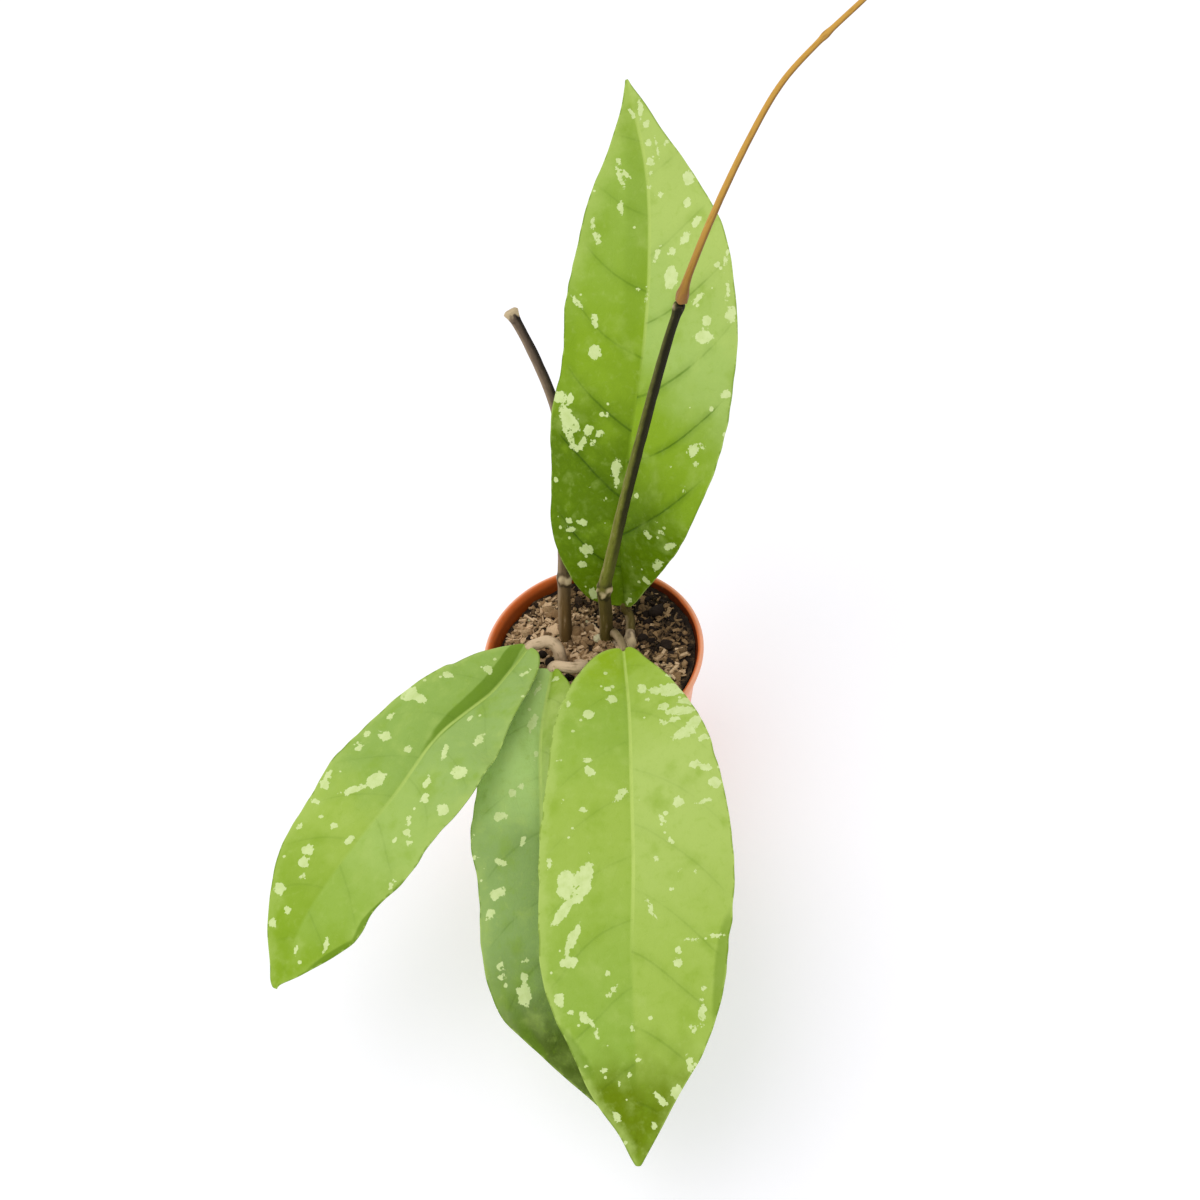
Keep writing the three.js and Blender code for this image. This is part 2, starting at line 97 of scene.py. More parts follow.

# Leaves

# A leaf's midrib runs from its stalk to its tip. Its half widths are given at even stations that lie
# closer together towards the base and the tip, and its folds at even shares of its length, in degrees.
# A wave is a count along the margin, its height and its start. Left and right are as seen from the base,
# with the upper face up. Side veins are given by where the first one leaves the midrib and their spacing.
# A splash is its place along and across the leaf, its length, its width and its turn to the right. The
# darker patches of painted shade are given in the same way, with their strength and softness given apart.
# Tones are colours at shares of the length, and they hold painted light and shade: paler on lit halves,
# darker at shaded bases and tips. The slant is how far the right half's tones run ahead towards its margin.
# The veins' strength is given for the base and the tip, and the rib is how strongly the midrib's pale line
# shows, where it comes in and where it fades out. The gleam is a painted highlight along the margins: how
# pale the left and the right margin are, how wide that is, and from which share of the length on.
LEAVES = {
    "leaf_rear": {
        "midrib": [(16.5, 17, 82.5), (20, 24.5, 117.5), (30, 40, 148), (42, 62.5, 173), (51.5, 88.5, 195),
                   (57.5, 115.5, 217.5), (57, 142, 241.5)],
        "right": [2.6, 6, 11.5, 20.5, 30.5, 37.1, 39.6, 38.5, 34.5, 29.5, 19, 9.6, 4.9, 1.5, 0.4],
        "left": [2.6, 13.5, 20, 25.5, 29.5, 32, 33, 32, 32, 27.5, 21.5, 12.5, 5, 1.5, 0.4],
        "fold_right": [26, 16, 8, 6],
        "fold_left": [26, 16, 8, 6],
        "wave_right": (4.5, 1.4, 0.1),
        "wave_left": (5, 1.2, 0.45),
        "stalk": {
            "route": [(15.6, 4.4, 72.5), (16.8, 8.4, 75.6), (17.6, 12.8, 76.2), (17.4, 15.6, 77.6)],
            "radius": (2.1, 1.8),
            "paleness": 0,
        },
        "slot": "leaf_green",
        "veins": (35, 28),
        "vein_strength": (0.9, 0.22),
        "rib": (0.55, 95, 125, 190, 212),
        "left_tones": [(0, "deep"), (0.28, "deep"), (0.5, "bright"), (0.82, "fresh"), (1, "meadow")],
        "right_tones": [(0, "deep"), (0.2, "deep"), (0.4, "bright"), (0.54, "pale"), (0.8, "straw")],
        "slant": 0.6,
        "specks": 4,
        "gleam": (0.4, 0.15, 9, 0.6),
        "painted_shade_look": (0.16, 1.6),
        "painted_shades": [(150, -5, 96, 9, 2), (112, -30, 60, 6, -4)],
        "splashes": [
            (178, -10.5, 9, 1.8, -12), (178, -8, 6, 2, -35), (184, -10, 3.5, 1.5, -20),
            (165, -11, 5.5, 2.4, -8), (159, -22, 4, 2, 0), (153, -20.5, 6, 2.6, -25),
            (126, -27.5, 7, 2, -40), (119, -20, 7, 2.4, -20), (106, -19, 6, 5.5, 0),
            (86, -31, 6, 4, 10), (86, -26.5, 4.5, 3.5, 0), (79, -26.5, 11, 5, -35),
            (76, -22.5, 5, 4, 0), (72, -24.5, 10, 2.5, -35), (67.5, -21.5, 3, 6, 0),
            (70.5, -18.5, 5, 3, 30), (75.5, -17, 4, 4.5, 0), (75, -12.5, 2.5, 3, -30),
            (62, -4, 8, 4, 0), (56.5, -3, 4, 2.2, 0), (38.5, -21, 2.5, 3, 0),
            (38.5, -15, 2.5, 5, 0), (35.5, -20, 1.8, 4.5, 0), (28, -13.5, 4.6, 5.6, 0),
            (21.5, -16, 2.4, 4.6, 0), (7, -13, 7, 4, 0), (202, 2.5, 7, 2, 10),
            (196, 3.5, 2.5, 3, 0), (189, 2.5, 2.5, 2.5, 0), (182, 2, 3, 3, 0),
            (169, 4.5, 2, 3, 0), (174, 16, 5, 4.5, 0), (165, 15, 3.5, 3.5, 0),
            (157.5, 18.5, 5, 3, 30), (152, 14, 6, 3, 30), (146, 3, 6, 1.8, 15),
            (147, 9, 3, 3.5, 0), (137, 9, 9, 5.5, 0), (129, 20, 5, 2.5, 45),
            (124, 33.5, 6, 4, 0), (121, 24.5, 4, 4, 0), (115, 24, 5, 7.5, 0),
            (96, 37, 3, 4.5, 0), (75, 28, 5, 4, 0), (77, 31, 2, 4, 20),
            (53.5, 7, 2.5, 2.5, 45), (39.5, 14, 3, 4.5, 45), (42.5, 21, 2, 3, 0),
            (37, 24.5, 7, 3, 50), (25.5, 18, 7, 4, 30), (16, 12, 3, 4, 45), (3, 3, 5, 2, 40),
            (201, -1, 4, 1.4, -25), (188, 9.5, 2.5, 1.6, 30), (187, 5.5, 6, 1, 0),
            (177.5, 1.5, 1.8, 2.6, 0), (172, 0.5, 2, 1.6, 0), (132.5, -4, 1.8, 1.4, 0),
            (130, -0.5, 7, 0.9, 0), (144, 30.5, 8, 1.4, 8), (141.5, 27, 2, 2.6, 0),
            (132, 31.5, 6, 1.6, 0), (82, -10.5, 1.8, 2.2, 0), (75, -12, 3, 2.4, -30),
            (71, -14.5, 2.6, 2.4, 0), (52.5, -14.5, 1.2, 2, 0), (49, -6.5, 1.4, 2, -30),
            (61, 28, 2, 1.6, 0), (70.5, 30, 2, 2.2, 0), (46, 18.5, 1.4, 1.2, 0),
            (90.5, 32, 2, 2, 0), (67.5, 20, 1.2, 3, 0),
        ],
    },
    "leaf_front": {
        "midrib": [(12, -8.5, 84), (9, -42, 89), (4, -76, 90), (-1.5, -109.5, 87), (-8.5, -142, 80.5),
                   (-14, -174, 70), (-20, -204.5, 55)],
        "right": [2.6, 10.5, 17.5, 24.5, 29, 31.5, 33.5, 34.5, 33.5, 30.5, 22.5, 15, 6.5, 2.5, 0.4],
        "left": [2.6, 6, 10.5, 18.5, 26.5, 32.2, 35.4, 36.6, 35.1, 32.1, 25.1, 14.6, 7.2, 2.5, 0.4],
        "fold_right": [24, 10, 4, 10],
        "fold_left": [24, 10, 4, 10],
        "wave_right": (4.5, 1.3, 0.3),
        "wave_left": (5, 1.5, 0),
        "stalk": {
            "route": [(7.6, 11, 71), (9.9, 8, 76.4), (11.6, 0.5, 80.4)],
            "radius": (1.7, 1.7),
            "paleness": 0.35,
        },
        "slot": "leaf_green",
        "veins": (22, 25),
        "vein_strength": (0.15, 0.3),
        "rib": (0.75, -4, 2, 100, 145),
        "left_tones": [(0, "vivid"), (0.12, "meadow"), (0.3, "straw"), (0.76, "meadow"), (0.93, "olive")],
        "right_tones": [(0, "vivid"), (0.2, "fresh"), (0.4, "meadow"), (0.78, "fresh"), (0.92, "olive")],
        "slant": 0,
        "specks": 6,
        "gleam": (0.15, 0.6, 5, 0),
        "painted_shade_look": (0.45, 0.7),
        "painted_shades": [(167, 21, 20, 5, -35), (141, -32, 44, 6, 8)],
        "splashes": [
            (192, -6, 2.6, 2, 0), (183.5, -8.5, 6, 2.2, -45), (181.5, -14, 5, 4, 20),
            (172.5, -19, 6, 2.5, -10), (156, -24, 9, 2.5, 5), (148, -25, 2.2, 1.6, -45),
            (138, -16.5, 3.5, 3.2, -40), (133.5, -16.5, 2.6, 2.6, 0), (129.5, -21.5, 1.4, 4.5, 0),
            (128.5, -30, 1.6, 6, 0), (118, -6.5, 8, 1.8, -25), (93, -14, 3, 2, -30),
            (84, -11, 5, 1.5, -25), (78, -17.5, 4.5, 4, 0), (78.5, -27.5, 2, 5.5, -15),
            (71, -31.5, 5, 4.5, 0), (64.5, -28.5, 3.2, 5.5, 10), (63, -24.5, 3, 4.5, -20),
            (49.5, -21.5, 5, 10, -15), (53, -28.5, 2.5, 5, 0), (43, -18, 2.5, 4.5, 0),
            (43.5, -13, 5, 2, -45), (45, -26, 4.4, 10, -40), (39, -20.5, 5, 11, 0),
            (36, -14, 3.5, 5, 0), (34, -23.5, 3.5, 7, 0), (28, -18, 6.4, 12, 0),
            (27.5, -12, 4, 6.5, 20), (25, -6, 5, 4, -20), (20.5, -18, 2, 3, 0),
            (189, 7, 3.5, 2.5, -30), (176, 2.5, 3.5, 1.6, 0), (174, 11, 1.6, 3, 0),
            (155.5, 17.5, 4.5, 3.5, -30), (161, 13, 4, 1.5, 0), (149, 25.8, 4.6, 3.6, 0),
            (147, 7, 6, 1.6, 50), (137, 22, 4, 6.5, 0), (129, 21, 11, 3.4, 22),
            (119, 25, 13, 4, 32), (111.5, 18.5, 11, 4.5, 35), (104, 17, 9, 5, 15),
            (108.5, 24.5, 12, 6.5, 0), (99.5, 30.5, 4, 1.8, 0), (78.5, 18, 2.5, 3, 0),
            (72.5, 4, 7, 3, 35), (62.5, 15.5, 4.6, 3.5, -35), (58, 16.5, 2.4, 3.5, 0),
            (36.5, 16, 4.6, 4.6, 0), (28.5, 6.5, 4.5, 4, -10), (23, 8, 2.8, 2.8, 0),
            (30.5, 24, 4, 2, 0), (106.5, 20.5, 7, 3.5, 10), (99.5, -8.5, 2.2, 1.8, 0),
            (104, -17, 1.6, 1.6, 0), (105, -22.5, 1.6, 1.6, 0), (111, -14, 1.6, 1.6, 0),
            (87, 21.5, 1.6, 1.6, 0), (57, 27.5, 1.2, 2, 0), (96, 16.5, 1.4, 1.4, 0),
            (157.5, 14.5, 4, 1.6, -35), (153.5, 22, 2, 2, 0), (159.5, 0.5, 3.5, 1, 0),
            (170.5, -1, 1.8, 2, -30), (172, 17, 1.4, 1.6, 0), (178.5, 6, 2, 1.4, 0),
            (190, 6.5, 2, 2, -30), (197.5, 4, 1.2, 1.2, 0), (161, -20.5, 3, 2, -20),
            (141, 8.5, 2.4, 1.4, 20), (31, -7.5, 2, 2, 0),
        ],
    },
    "leaf_left": {
        "midrib": [(-25.5, 2, 84), (-42.5, -19.5, 89), (-65, -36.5, 91), (-83.5, -57.5, 89.5),
                   (-104, -76.5, 85), (-123, -96.5, 79.5), (-138, -118, 70)],
        "right": [2.6, 6, 12, 19.5, 23, 23.7, 27.5, 29.6, 28.5, 25, 18.4, 12, 6, 3, 0.4],
        "left": [2.6, 7, 10.5, 13, 17.5, 25.5, 28.5, 25.5, 27, 23.6, 24.5, 17.5, 8.8, 1.5, 0.4],
        "fold_right": [40, 22, 10, 10],
        "fold_left": [22, 8, 4, 10],
        "wave_right": (4, 1.2, 0.2),
        "wave_left": (5, 1.8, 0.35),
        "stalk": {
            "route": [(-10.4, 13.1, 60), (-12.6, 4.4, 66), (-13.3, 0.6, 70.5), (-13.5, 1, 74.5),
                      (-13.6, 2.7, 78.6), (-15, 4.6, 81.2), (-17.6, 5.6, 82.4), (-20.8, 4.9, 83)],
            "radius": (2.8, 2.4),
            "paleness": 1,
        },
        "slot": "leaf_green",
        "veins": (24, 21),
        "vein_strength": (0.15, 0.2),
        "rib": (0.6, -2, 4, 64, 112),
        "left_tones": [(0, "silver"), (0.35, "silver"), (0.55, "pale"), (0.8, "fresh"), (0.95, "bright")],
        "right_tones": [(0, "misty"), (0.45, "misty"), (0.62, "meadow"), (0.88, "bright")],
        "slant": 0,
        "specks": 5,
        "gleam": (0.2, 0.3, 5, 0),
        "painted_shade_look": (0.72, 0.45),
        "painted_shades": [(22, 3.2, 86, 6.2, -4), (129, -23.8, 32, 2.4, 4), (150, -16.4, 22, 2.4, 36)],
        "splashes": [
            (147.5, 11, 3.2, 3.6, 0), (141.5, 7.5, 2.2, 3, 0), (136.5, 14.5, 4, 5, 10),
            (129, 9.5, 3, 1.6, 0), (124.5, 12.5, 4, 4.5, 0), (120, 14, 4.2, 5, 0),
            (114.5, 23.5, 2.6, 2.2, 0), (109, 3, 4.2, 3, 20), (108, 11.5, 2.2, 3, -20),
            (107.5, 18.5, 2, 2, 0), (104.5, 25, 2.2, 3.6, 0), (97.5, 26, 4, 5, 0),
            (94, 27, 4, 3, 0), (93, 14.5, 10, 3, 38), (84.5, 9.5, 9, 6, 15),
            (75.5, 23.5, 4, 3, 0), (69, 24.5, 2.6, 3, 0), (67, 17.5, 3.6, 6.2, 0),
            (67.5, 6, 3.6, 3.2, 30), (60, 21, 3, 2.4, 0), (51.5, 22, 5.4, 6.5, 0),
            (50.5, 17, 3, 7.5, 0), (36.5, 18, 4, 4.6, -30), (20.5, 7.5, 3.6, 5, 0),
            (147, -13, 6.5, 2, -8), (153, -2, 4, 1.6, -25), (114, -22.5, 4, 1.6, 0),
            (99.5, -13, 2, 2, 0), (97.5, -19, 2, 3, -20), (95, -15, 2.4, 4, 0),
            (91, -12.5, 4.5, 1.8, -35), (82, -20.5, 3.6, 5.6, 15), (81, -11.5, 4, 3, 0),
            (76, -8.5, 5, 3, -10), (67.5, -18.5, 6, 6.6, 0), (61.5, -7.5, 9, 2.6, -22),
            (47.5, -15, 7, 3.2, -20), (42.5, -4, 4, 2, 0), (14.5, -7, 5, 1.6, 25),
        ],
    },
    "leaf_middle": {
        "midrib": [(-17.7, -8, 79.6), (-26, -37.5, 81.5), (-31, -68, 78), (-35, -98.5, 71.5),
                   (-35.5, -128, 62), (-31.5, -157, 50.5), (-23.5, -183, 36)],
        "right": [2.6, 10, 15, 18, 21, 24.5, 27, 24.8, 26.3, 25.2, 15.6, 8, 3.5, 1.5, 0.4],
        "left": [2.6, 5, 10, 13.5, 18, 23.5, 26.5, 26, 25, 22, 15, 8, 3.5, 1.5, 0.4],
        "fold_right": [22, 12, 6, 8],
        "fold_left": [22, 12, 6, 8],
        "wave_right": (5, 1.2, 0.15),
        "wave_left": (4.5, 1, 0.4),
        "stalk": {
            "route": [(-10, 12.5, 62), (-7.6, 4, 66.5), (-5, -2, 71.5), (-4.6, -5.8, 75.6),
                      (-6, -8, 78.4), (-9, -8.4, 79.7), (-12, -7.8, 80.3), (-14.8, -6.4, 80.2)],
            "radius": (2.6, 2.3),
            "paleness": 1,
        },
        "slot": "leaf_shade_green",
        "veins": (28, 23),
        "vein_strength": (0.25, 0.3),
        "rib": (0.65, -2, 3, 110, 150),
        "left_tones": [(0, "bright"), (0.12, "straw"), (0.5, "blue"), (0.85, "shade")],
        "right_tones": [(0, "frost"), (0.28, "frost"), (0.44, "blue"), (0.6, "blue"), (0.82, "shade")],
        "slant": 0,
        "specks": 6,
        "gleam": (0.1, 0.1, 5, 0),
        "painted_shade_look": (0.5, 1.2),
        "painted_shades": [(150, 17, 34, 5, -8)],
        "splashes": [
            (131, 14.5, 8, 5, 10), (125.5, 13, 3, 3, 0), (123.5, 21, 1.6, 3, 0),
            (120.5, 20.5, 3, 3, 0), (119.8, 11, 1.4, 3, 0), (102, 21.5, 4, 3.4, 20),
            (95, 18, 4, 6.2, -10), (84.5, 15.5, 2.6, 4.6, 20), (82, 25.5, 1.4, 3, 0),
            (77, 7, 5, 1.8, 35), (67, 15.5, 3.6, 5.6, -10), (57.5, 11, 3, 3.6, 30),
            (55, 7.5, 2.2, 2.6, 0), (41.5, 1.5, 5, 1.6, 10), (28, 3.8, 9, 3.2, 12),
            (11, 4, 5, 1.6, 20), (5, -2.5, 2.6, 3, 0), (60, -14, 5, 4, 20),
            (92, -16, 6, 3, -30), (121, -12, 7, 5, 0), (148, -7, 3.4, 2, 0),
        ],
    },
}

# How far out a patch is still felt, beyond its rim.
PATCH_REACH = 3
# A stalk starts to follow the blade's heading this far before the blade's base, and ends this far inside it.
STALK_LEAD = 2.4
STALK_REACH = 0.8
# How much a folded half levels out towards its margin.
BLADE_LEVELLING = 0.5
# How far a side vein has climbed towards the tip where it is this far from the midrib.
VEIN_CLIMB = 24
VEIN_SPREAD = 30
# Half widths of the upper side's vein valleys and groove, and of the keel and the raised veins below.
VALLEY_WIDTH = 2.2
GROOVE_WIDTH = 1.3
KEEL_WIDTH = 1.5
RAISED_WIDTH = 0.8
RAISED_HEIGHT = 0.25
# The length and the height of the blade's low bumps, and of its margin's ripple, as a share of the width.
BUMP_LENGTH = 11
BUMP_HEIGHT = 0.3
RIPPLE_LENGTH = 7
RIPPLE_HEIGHT = 0.016
# The blade is this much thinner at its margin, and swells over this share of its length at its base.
MARGIN_THINNING = 0.55
SWELL_SHARE = 0.02
# A limb's ends are rounded over this length, and its bark carries painted shade on the side that faces
# this way, partly bark that is darker on that side.
END_ROUNDING = 0.8
SHADE_SIDE = Vector((0.85, -0.2, -0.45)).normalized()
# Points closer than this are merged.
MERGE = 1e-4

# The foot of the pot's band slopes in over this height.
BAND_SLOPE = 0.8


def mm(metres):
    return metres / MM


def srgb(red, green, blue):
    """A colour as a screen gives it, from 0 to 255, in the linear values that Blender keeps."""
    shares = [level / 255 for level in (red, green, blue)]
    return tuple(s / 12.92 if s <= 0.04045 else ((s + 0.055) / 1.055) ** 2.4 for s in shares)


def length(name, description, millimetres):
    return FloatProperty(name=name, description=description, default=millimetres * MM,
                         unit="LENGTH", precision=5)


def colour(name, description, red, green, blue):
    return FloatVectorProperty(name=name, description=description, default=srgb(red, green, blue),
                               subtype="COLOR", min=0, max=1)


def amount(name, description, default, **limits):
    return FloatProperty(name=name, description=description, default=default, **limits)


def count(name, description, default):
    return IntProperty(name=name, description=description, default=default, min=0)


class PotSettings(PropertyGroup):
    rim_radius: length("Rim radius", "Outer radius of the lip", 45)
    height: length("Height", "Height of the pot", 78)
    lip_radius: length("Lip radius", "Radius of the rounded lip", 1.2)
    band_height: length("Band height", "Height of the band and the lip together", 4)
    band_inset: length("Band inset", "How far the band lies inside the lip", 0.7)
    band_step: length("Band step", "How far the wall lies inside the lip's middle", 1.3)
    base_radius: length("Base radius", "Radius of the pot's foot", 29.5)
    wall: length("Wall", "Thickness of the wall", 1.3)
    floor: length("Floor", "Thickness of the floor", 1.6)
    drain_radius: length("Drain radius", "Radius of a drain hole", 3.5)
    drain_ring: length("Drain ring", "Distance of the drain holes from the middle", 20)
    drains: count("Drain holes", "How many drain holes the floor has", 8)
    plastic: colour("Plastic", "Colour of the plastic", 243, 170, 132)
    # The three inner wall colours below are painted light and shade, not the plastic's own colour.
    plastic_glow: colour("Lit inner wall", "Colour of the inner wall just under the lip", 214, 104, 44)
    plastic_shade: colour("Lower inner wall", "Colour of the inner wall further down", 134, 58, 8)
    plastic_deep_shade: colour("Shaded inner wall", "Colour of the inner wall in the shade", 90, 32, 6)
    dust: colour("Dust", "Colour of dried soil on the plastic", 176, 140, 110)


class SoilSettings(PropertyGroup):
    top: length("Top", "Height of the soil's surface in the middle", 70.8)
    rise: amount("Rise", "How much the surface climbs to the right, per length", 0.04)
    dish: length("Dish", "How much higher the soil lies at its rim", 3)
    dish_radius: length("Dish radius", "How far from the middle the dish has its full height", 40)
    shreds: count("Shreds", "How many thin bark shreds lie on the soil", 2100)
    crumbs: count("Crumbs", "How many crumbs lie on the soil", 1300)
    lumps: count("Lumps", "How many larger lumps lie on the soil", 110)
    grains: count("Grains", "How many pale grains lie on the soil", 40)
    seed: count("Seed", "Seed of the random places", 11)
    light: colour("Light bark", "Colour of dry bark", 222, 190, 150)
    middle: colour("Middle bark", "Colour of weathered bark", 146, 115, 78)
    # The dark bark colour also paints the shade in the soil's hollows.
    dark: colour("Dark bark", "Colour of moist crumbs", 30, 17, 6)
    grit: colour("Grit", "Colour of the pale grains", 206, 200, 160)


class StemSettings(PropertyGroup):
    # The right stem's foot and top are darker, partly as painted shade.
    right_foot: colour("Right foot", "Colour of the right stem below its lowest node", 94, 82, 36)
    right_bark: colour("Right bark", "Colour of the right stem's middle", 116, 120, 42)
    right_top: colour("Right top", "Colour of the right stem's top", 88, 88, 38)
    left_foot: colour("Left foot", "Colour of the left stem below its node", 102, 79, 42)
    left_bark: colour("Left bark", "Colour of the left stem's middle", 102, 84, 58)
    left_top: colour("Left top", "Colour of the left stem's top", 104, 88, 74)
    # Colour of the painted shade on the bark, and of its dark streaks and node rims.
    dark_bark_and_shade: colour("Shaded bark", "Colour of the darker side", 20, 15, 5)
    stalk: colour("Stalk", "Colour of the leaf stalks", 214, 188, 154)
    ring: colour("Ring", "Colour of the pale rings at the nodes", 214, 192, 152)
    vine: colour("Vine", "Colour of the young vine", 204, 156, 68)
    # Used for the vine's painted shade as well as its darker foot and streaks.
    dark_vine_and_shade: colour("Shaded vine", "Colour of the vine's darker side", 122, 82, 16)
    collar: colour("Vine collar", "Colour of the vine's swollen foot and its nodes", 140, 94, 50)


class LeafSettings(PropertyGroup):
    thickness: length("Thickness", "Thickness of a blade", 0.9)
    keel: length("Keel", "How far the midrib stands out below", 1.3)
    groove: length("Groove", "Depth of the midrib's groove above", 0.5)
    pillow: length("Pillow", "Depth of the side veins' valleys", 0.4)
    rows: count("Rows", "Rows of faces along a blade", 260)
    columns: count("Columns", "Rows of faces across a blade", 64)
    # Many of these greens hold painted light and shade: deep, olive and shade darken bases and tips that lie
    # in shade; misty and blue are halves in painted shade with a bluish sheen, partly a bluish bloom of the
    # leaf; pale and straw are lit halves; frost, and in part silver, lighten bases that the leaf above
    # shades.
    deep: colour("Deep green", "Dark green of the rear leaf's base", 93, 124, 0)
    olive: colour("Olive green", "Green of the front leaf's tip", 108, 132, 0)
    bright: colour("Bright green", "Saturated green of the rear leaf", 136, 170, 34)
    vivid: colour("Vivid green", "Saturated green of the front leaf's base", 148, 180, 36)
    fresh: colour("Fresh green", "Common leaf green", 150, 182, 70)
    meadow: colour("Meadow green", "Lighter leaf green", 162, 190, 78)
    pale: colour("Pale green", "Green of lit halves", 164, 193, 96)
    straw: colour("Straw green", "Palest green of lit halves", 178, 202, 104)
    misty: colour("Misty green", "Duller green of the left leaf's upper half", 148, 180, 84)
    silver: colour("Silver green", "Greyish green near the stalks", 152, 182, 98)
    frost: colour("Frosty green", "Light bluish green near the middle leaf's stalk", 178, 210, 123)
    blue: colour("Blue green", "Bluish green of the middle leaf", 144, 174, 98)
    shade: colour("Shade green", "Dark green of the middle leaf's tip", 88, 108, 36)
    # The colour of the patches of painted shade.
    painted_shade: colour("Dusk green", "Colour of the darkest patches", 96, 132, 0)
    # This tint also paints the shade in the veins' valleys.
    vein: colour("Vein", "Tint of the sunken side veins", 154, 178, 84)
    rib: colour("Midrib", "Colour of the midrib's line", 192, 214, 112)
    splash: colour("Splash", "Colour of the pale splashes", 216, 231, 164)
    under: colour("Underside", "Colour of the lower face", 158, 184, 120)


class StudioSettings(PropertyGroup):
    distance: length("Camera distance", "From the pot's rim to the camera", 700)
    elevation: amount("Camera elevation", "Height of the camera over the rim, in degrees", 51.7)
    roll: amount("Camera roll", "How far the camera is rolled, in degrees", 11.6)
    focal_pixels: amount("Focal length", "Focal length in pixels of the image", 1726.2)
    aim_x: amount("Rim across", "Where the rim's centre shows, in pixels from the left", 592.7)
    aim_y: amount("Rim down", "Where the rim's centre shows, in pixels from the top", 650)
    floor: colour("Floor", "Colour of the floor", 220, 219, 226)
    floor_glow: amount("Floor glow", "How much the pale floor lights up by itself", 0.36)
    key_power: amount("Key light", "Power of the large soft light", 7.2)
    world_strength: amount("Room light", "Strength of the light from all round", 0.79)


# Curves


def spline(points, share):
    """A smooth curve through the points, read at a share from 0 to 1."""
    spans = len(points) - 1
    at = min(max(share, 0), 1) * spans
    index = min(int(at), spans - 1)
    u = at - index
    start, end = points[index], points[index + 1]
    before = points[index - 1] if index > 0 else 2 * start - end
    after = points[index + 2] if index + 2 <= spans else 2 * end - start
    square, cube = u * u, u * u * u
    place = (2 * cube - 3 * square + 1) * start + (3 * square - 2 * cube) * end
    return place + (cube - 2 * square + u) * (end - before) / 2 + (cube - square) * (after - start) / 2


def vectors(points):
    return [Vector(point) for point in points]


def lerp(low, high, share):
    return low + (high - low) * share


def smooth(value, low, high):
    """0 below low, 1 above high, with a soft step between."""
    share = min(max((value - low) / (high - low), 0), 1)
    return share * share * (3 - 2 * share)


def bell(distance, width):
    """1 at 0, and falls off to both sides over about the width."""
    return math.exp(-((distance / width) ** 2))


class Route:
    """A smooth line through the given points, walked in even steps of its true length."""

    SAMPLES = 400

    def __init__(self, points, steps):
        points = vectors(points)
        samples = [spline(points, i / self.SAMPLES) for i in range(self.SAMPLES + 1)]
        walked = [0]
        for start, end in zip(samples, samples[1:]):
            walked.append(walked[-1] + (end - start).length)
        self.length = walked[-1]
        self.places = []
        at = 0
        for step in range(steps + 1):
            goal = self.length * step / steps
            while at < self.SAMPLES - 1 and walked[at + 1] < goal:
                at += 1
            share = (goal - walked[at]) / (walked[at + 1] - walked[at])
            self.places.append(samples[at].lerp(samples[at + 1], min(max(share, 0), 1)))
        self.headings = [self.heading(step) for step in range(steps + 1)]
        side = self.headings[0].orthogonal().normalized()
        self.sides = []
        for heading in self.headings:
            side = (side - heading * side.dot(heading)).normalized()
            self.sides.append(side.copy())

    def heading(self, step):
        before = self.places[max(step - 1, 0)]
        after = self.places[min(step + 1, len(self.places) - 1)]
        return (after - before).normalized()


# Materials


class Value:
    """A socket of a material. Python's operators on number sockets add Math nodes."""

    def __init__(self, paint, socket):
        self.paint = paint
        self.socket = socket

    def __add__(self, other):
        return self.paint.math("ADD", self, other)

    def __sub__(self, other):
        return self.paint.math("SUBTRACT", self, other)

    def __mul__(self, other):
        return self.paint.math("MULTIPLY", self, other)

    def __rsub__(self, other):
        return self.paint.math("SUBTRACT", other, self)

    def __abs__(self):
        return self.paint.math("ABSOLUTE", self)

    __radd__ = __add__
    __rmul__ = __mul__


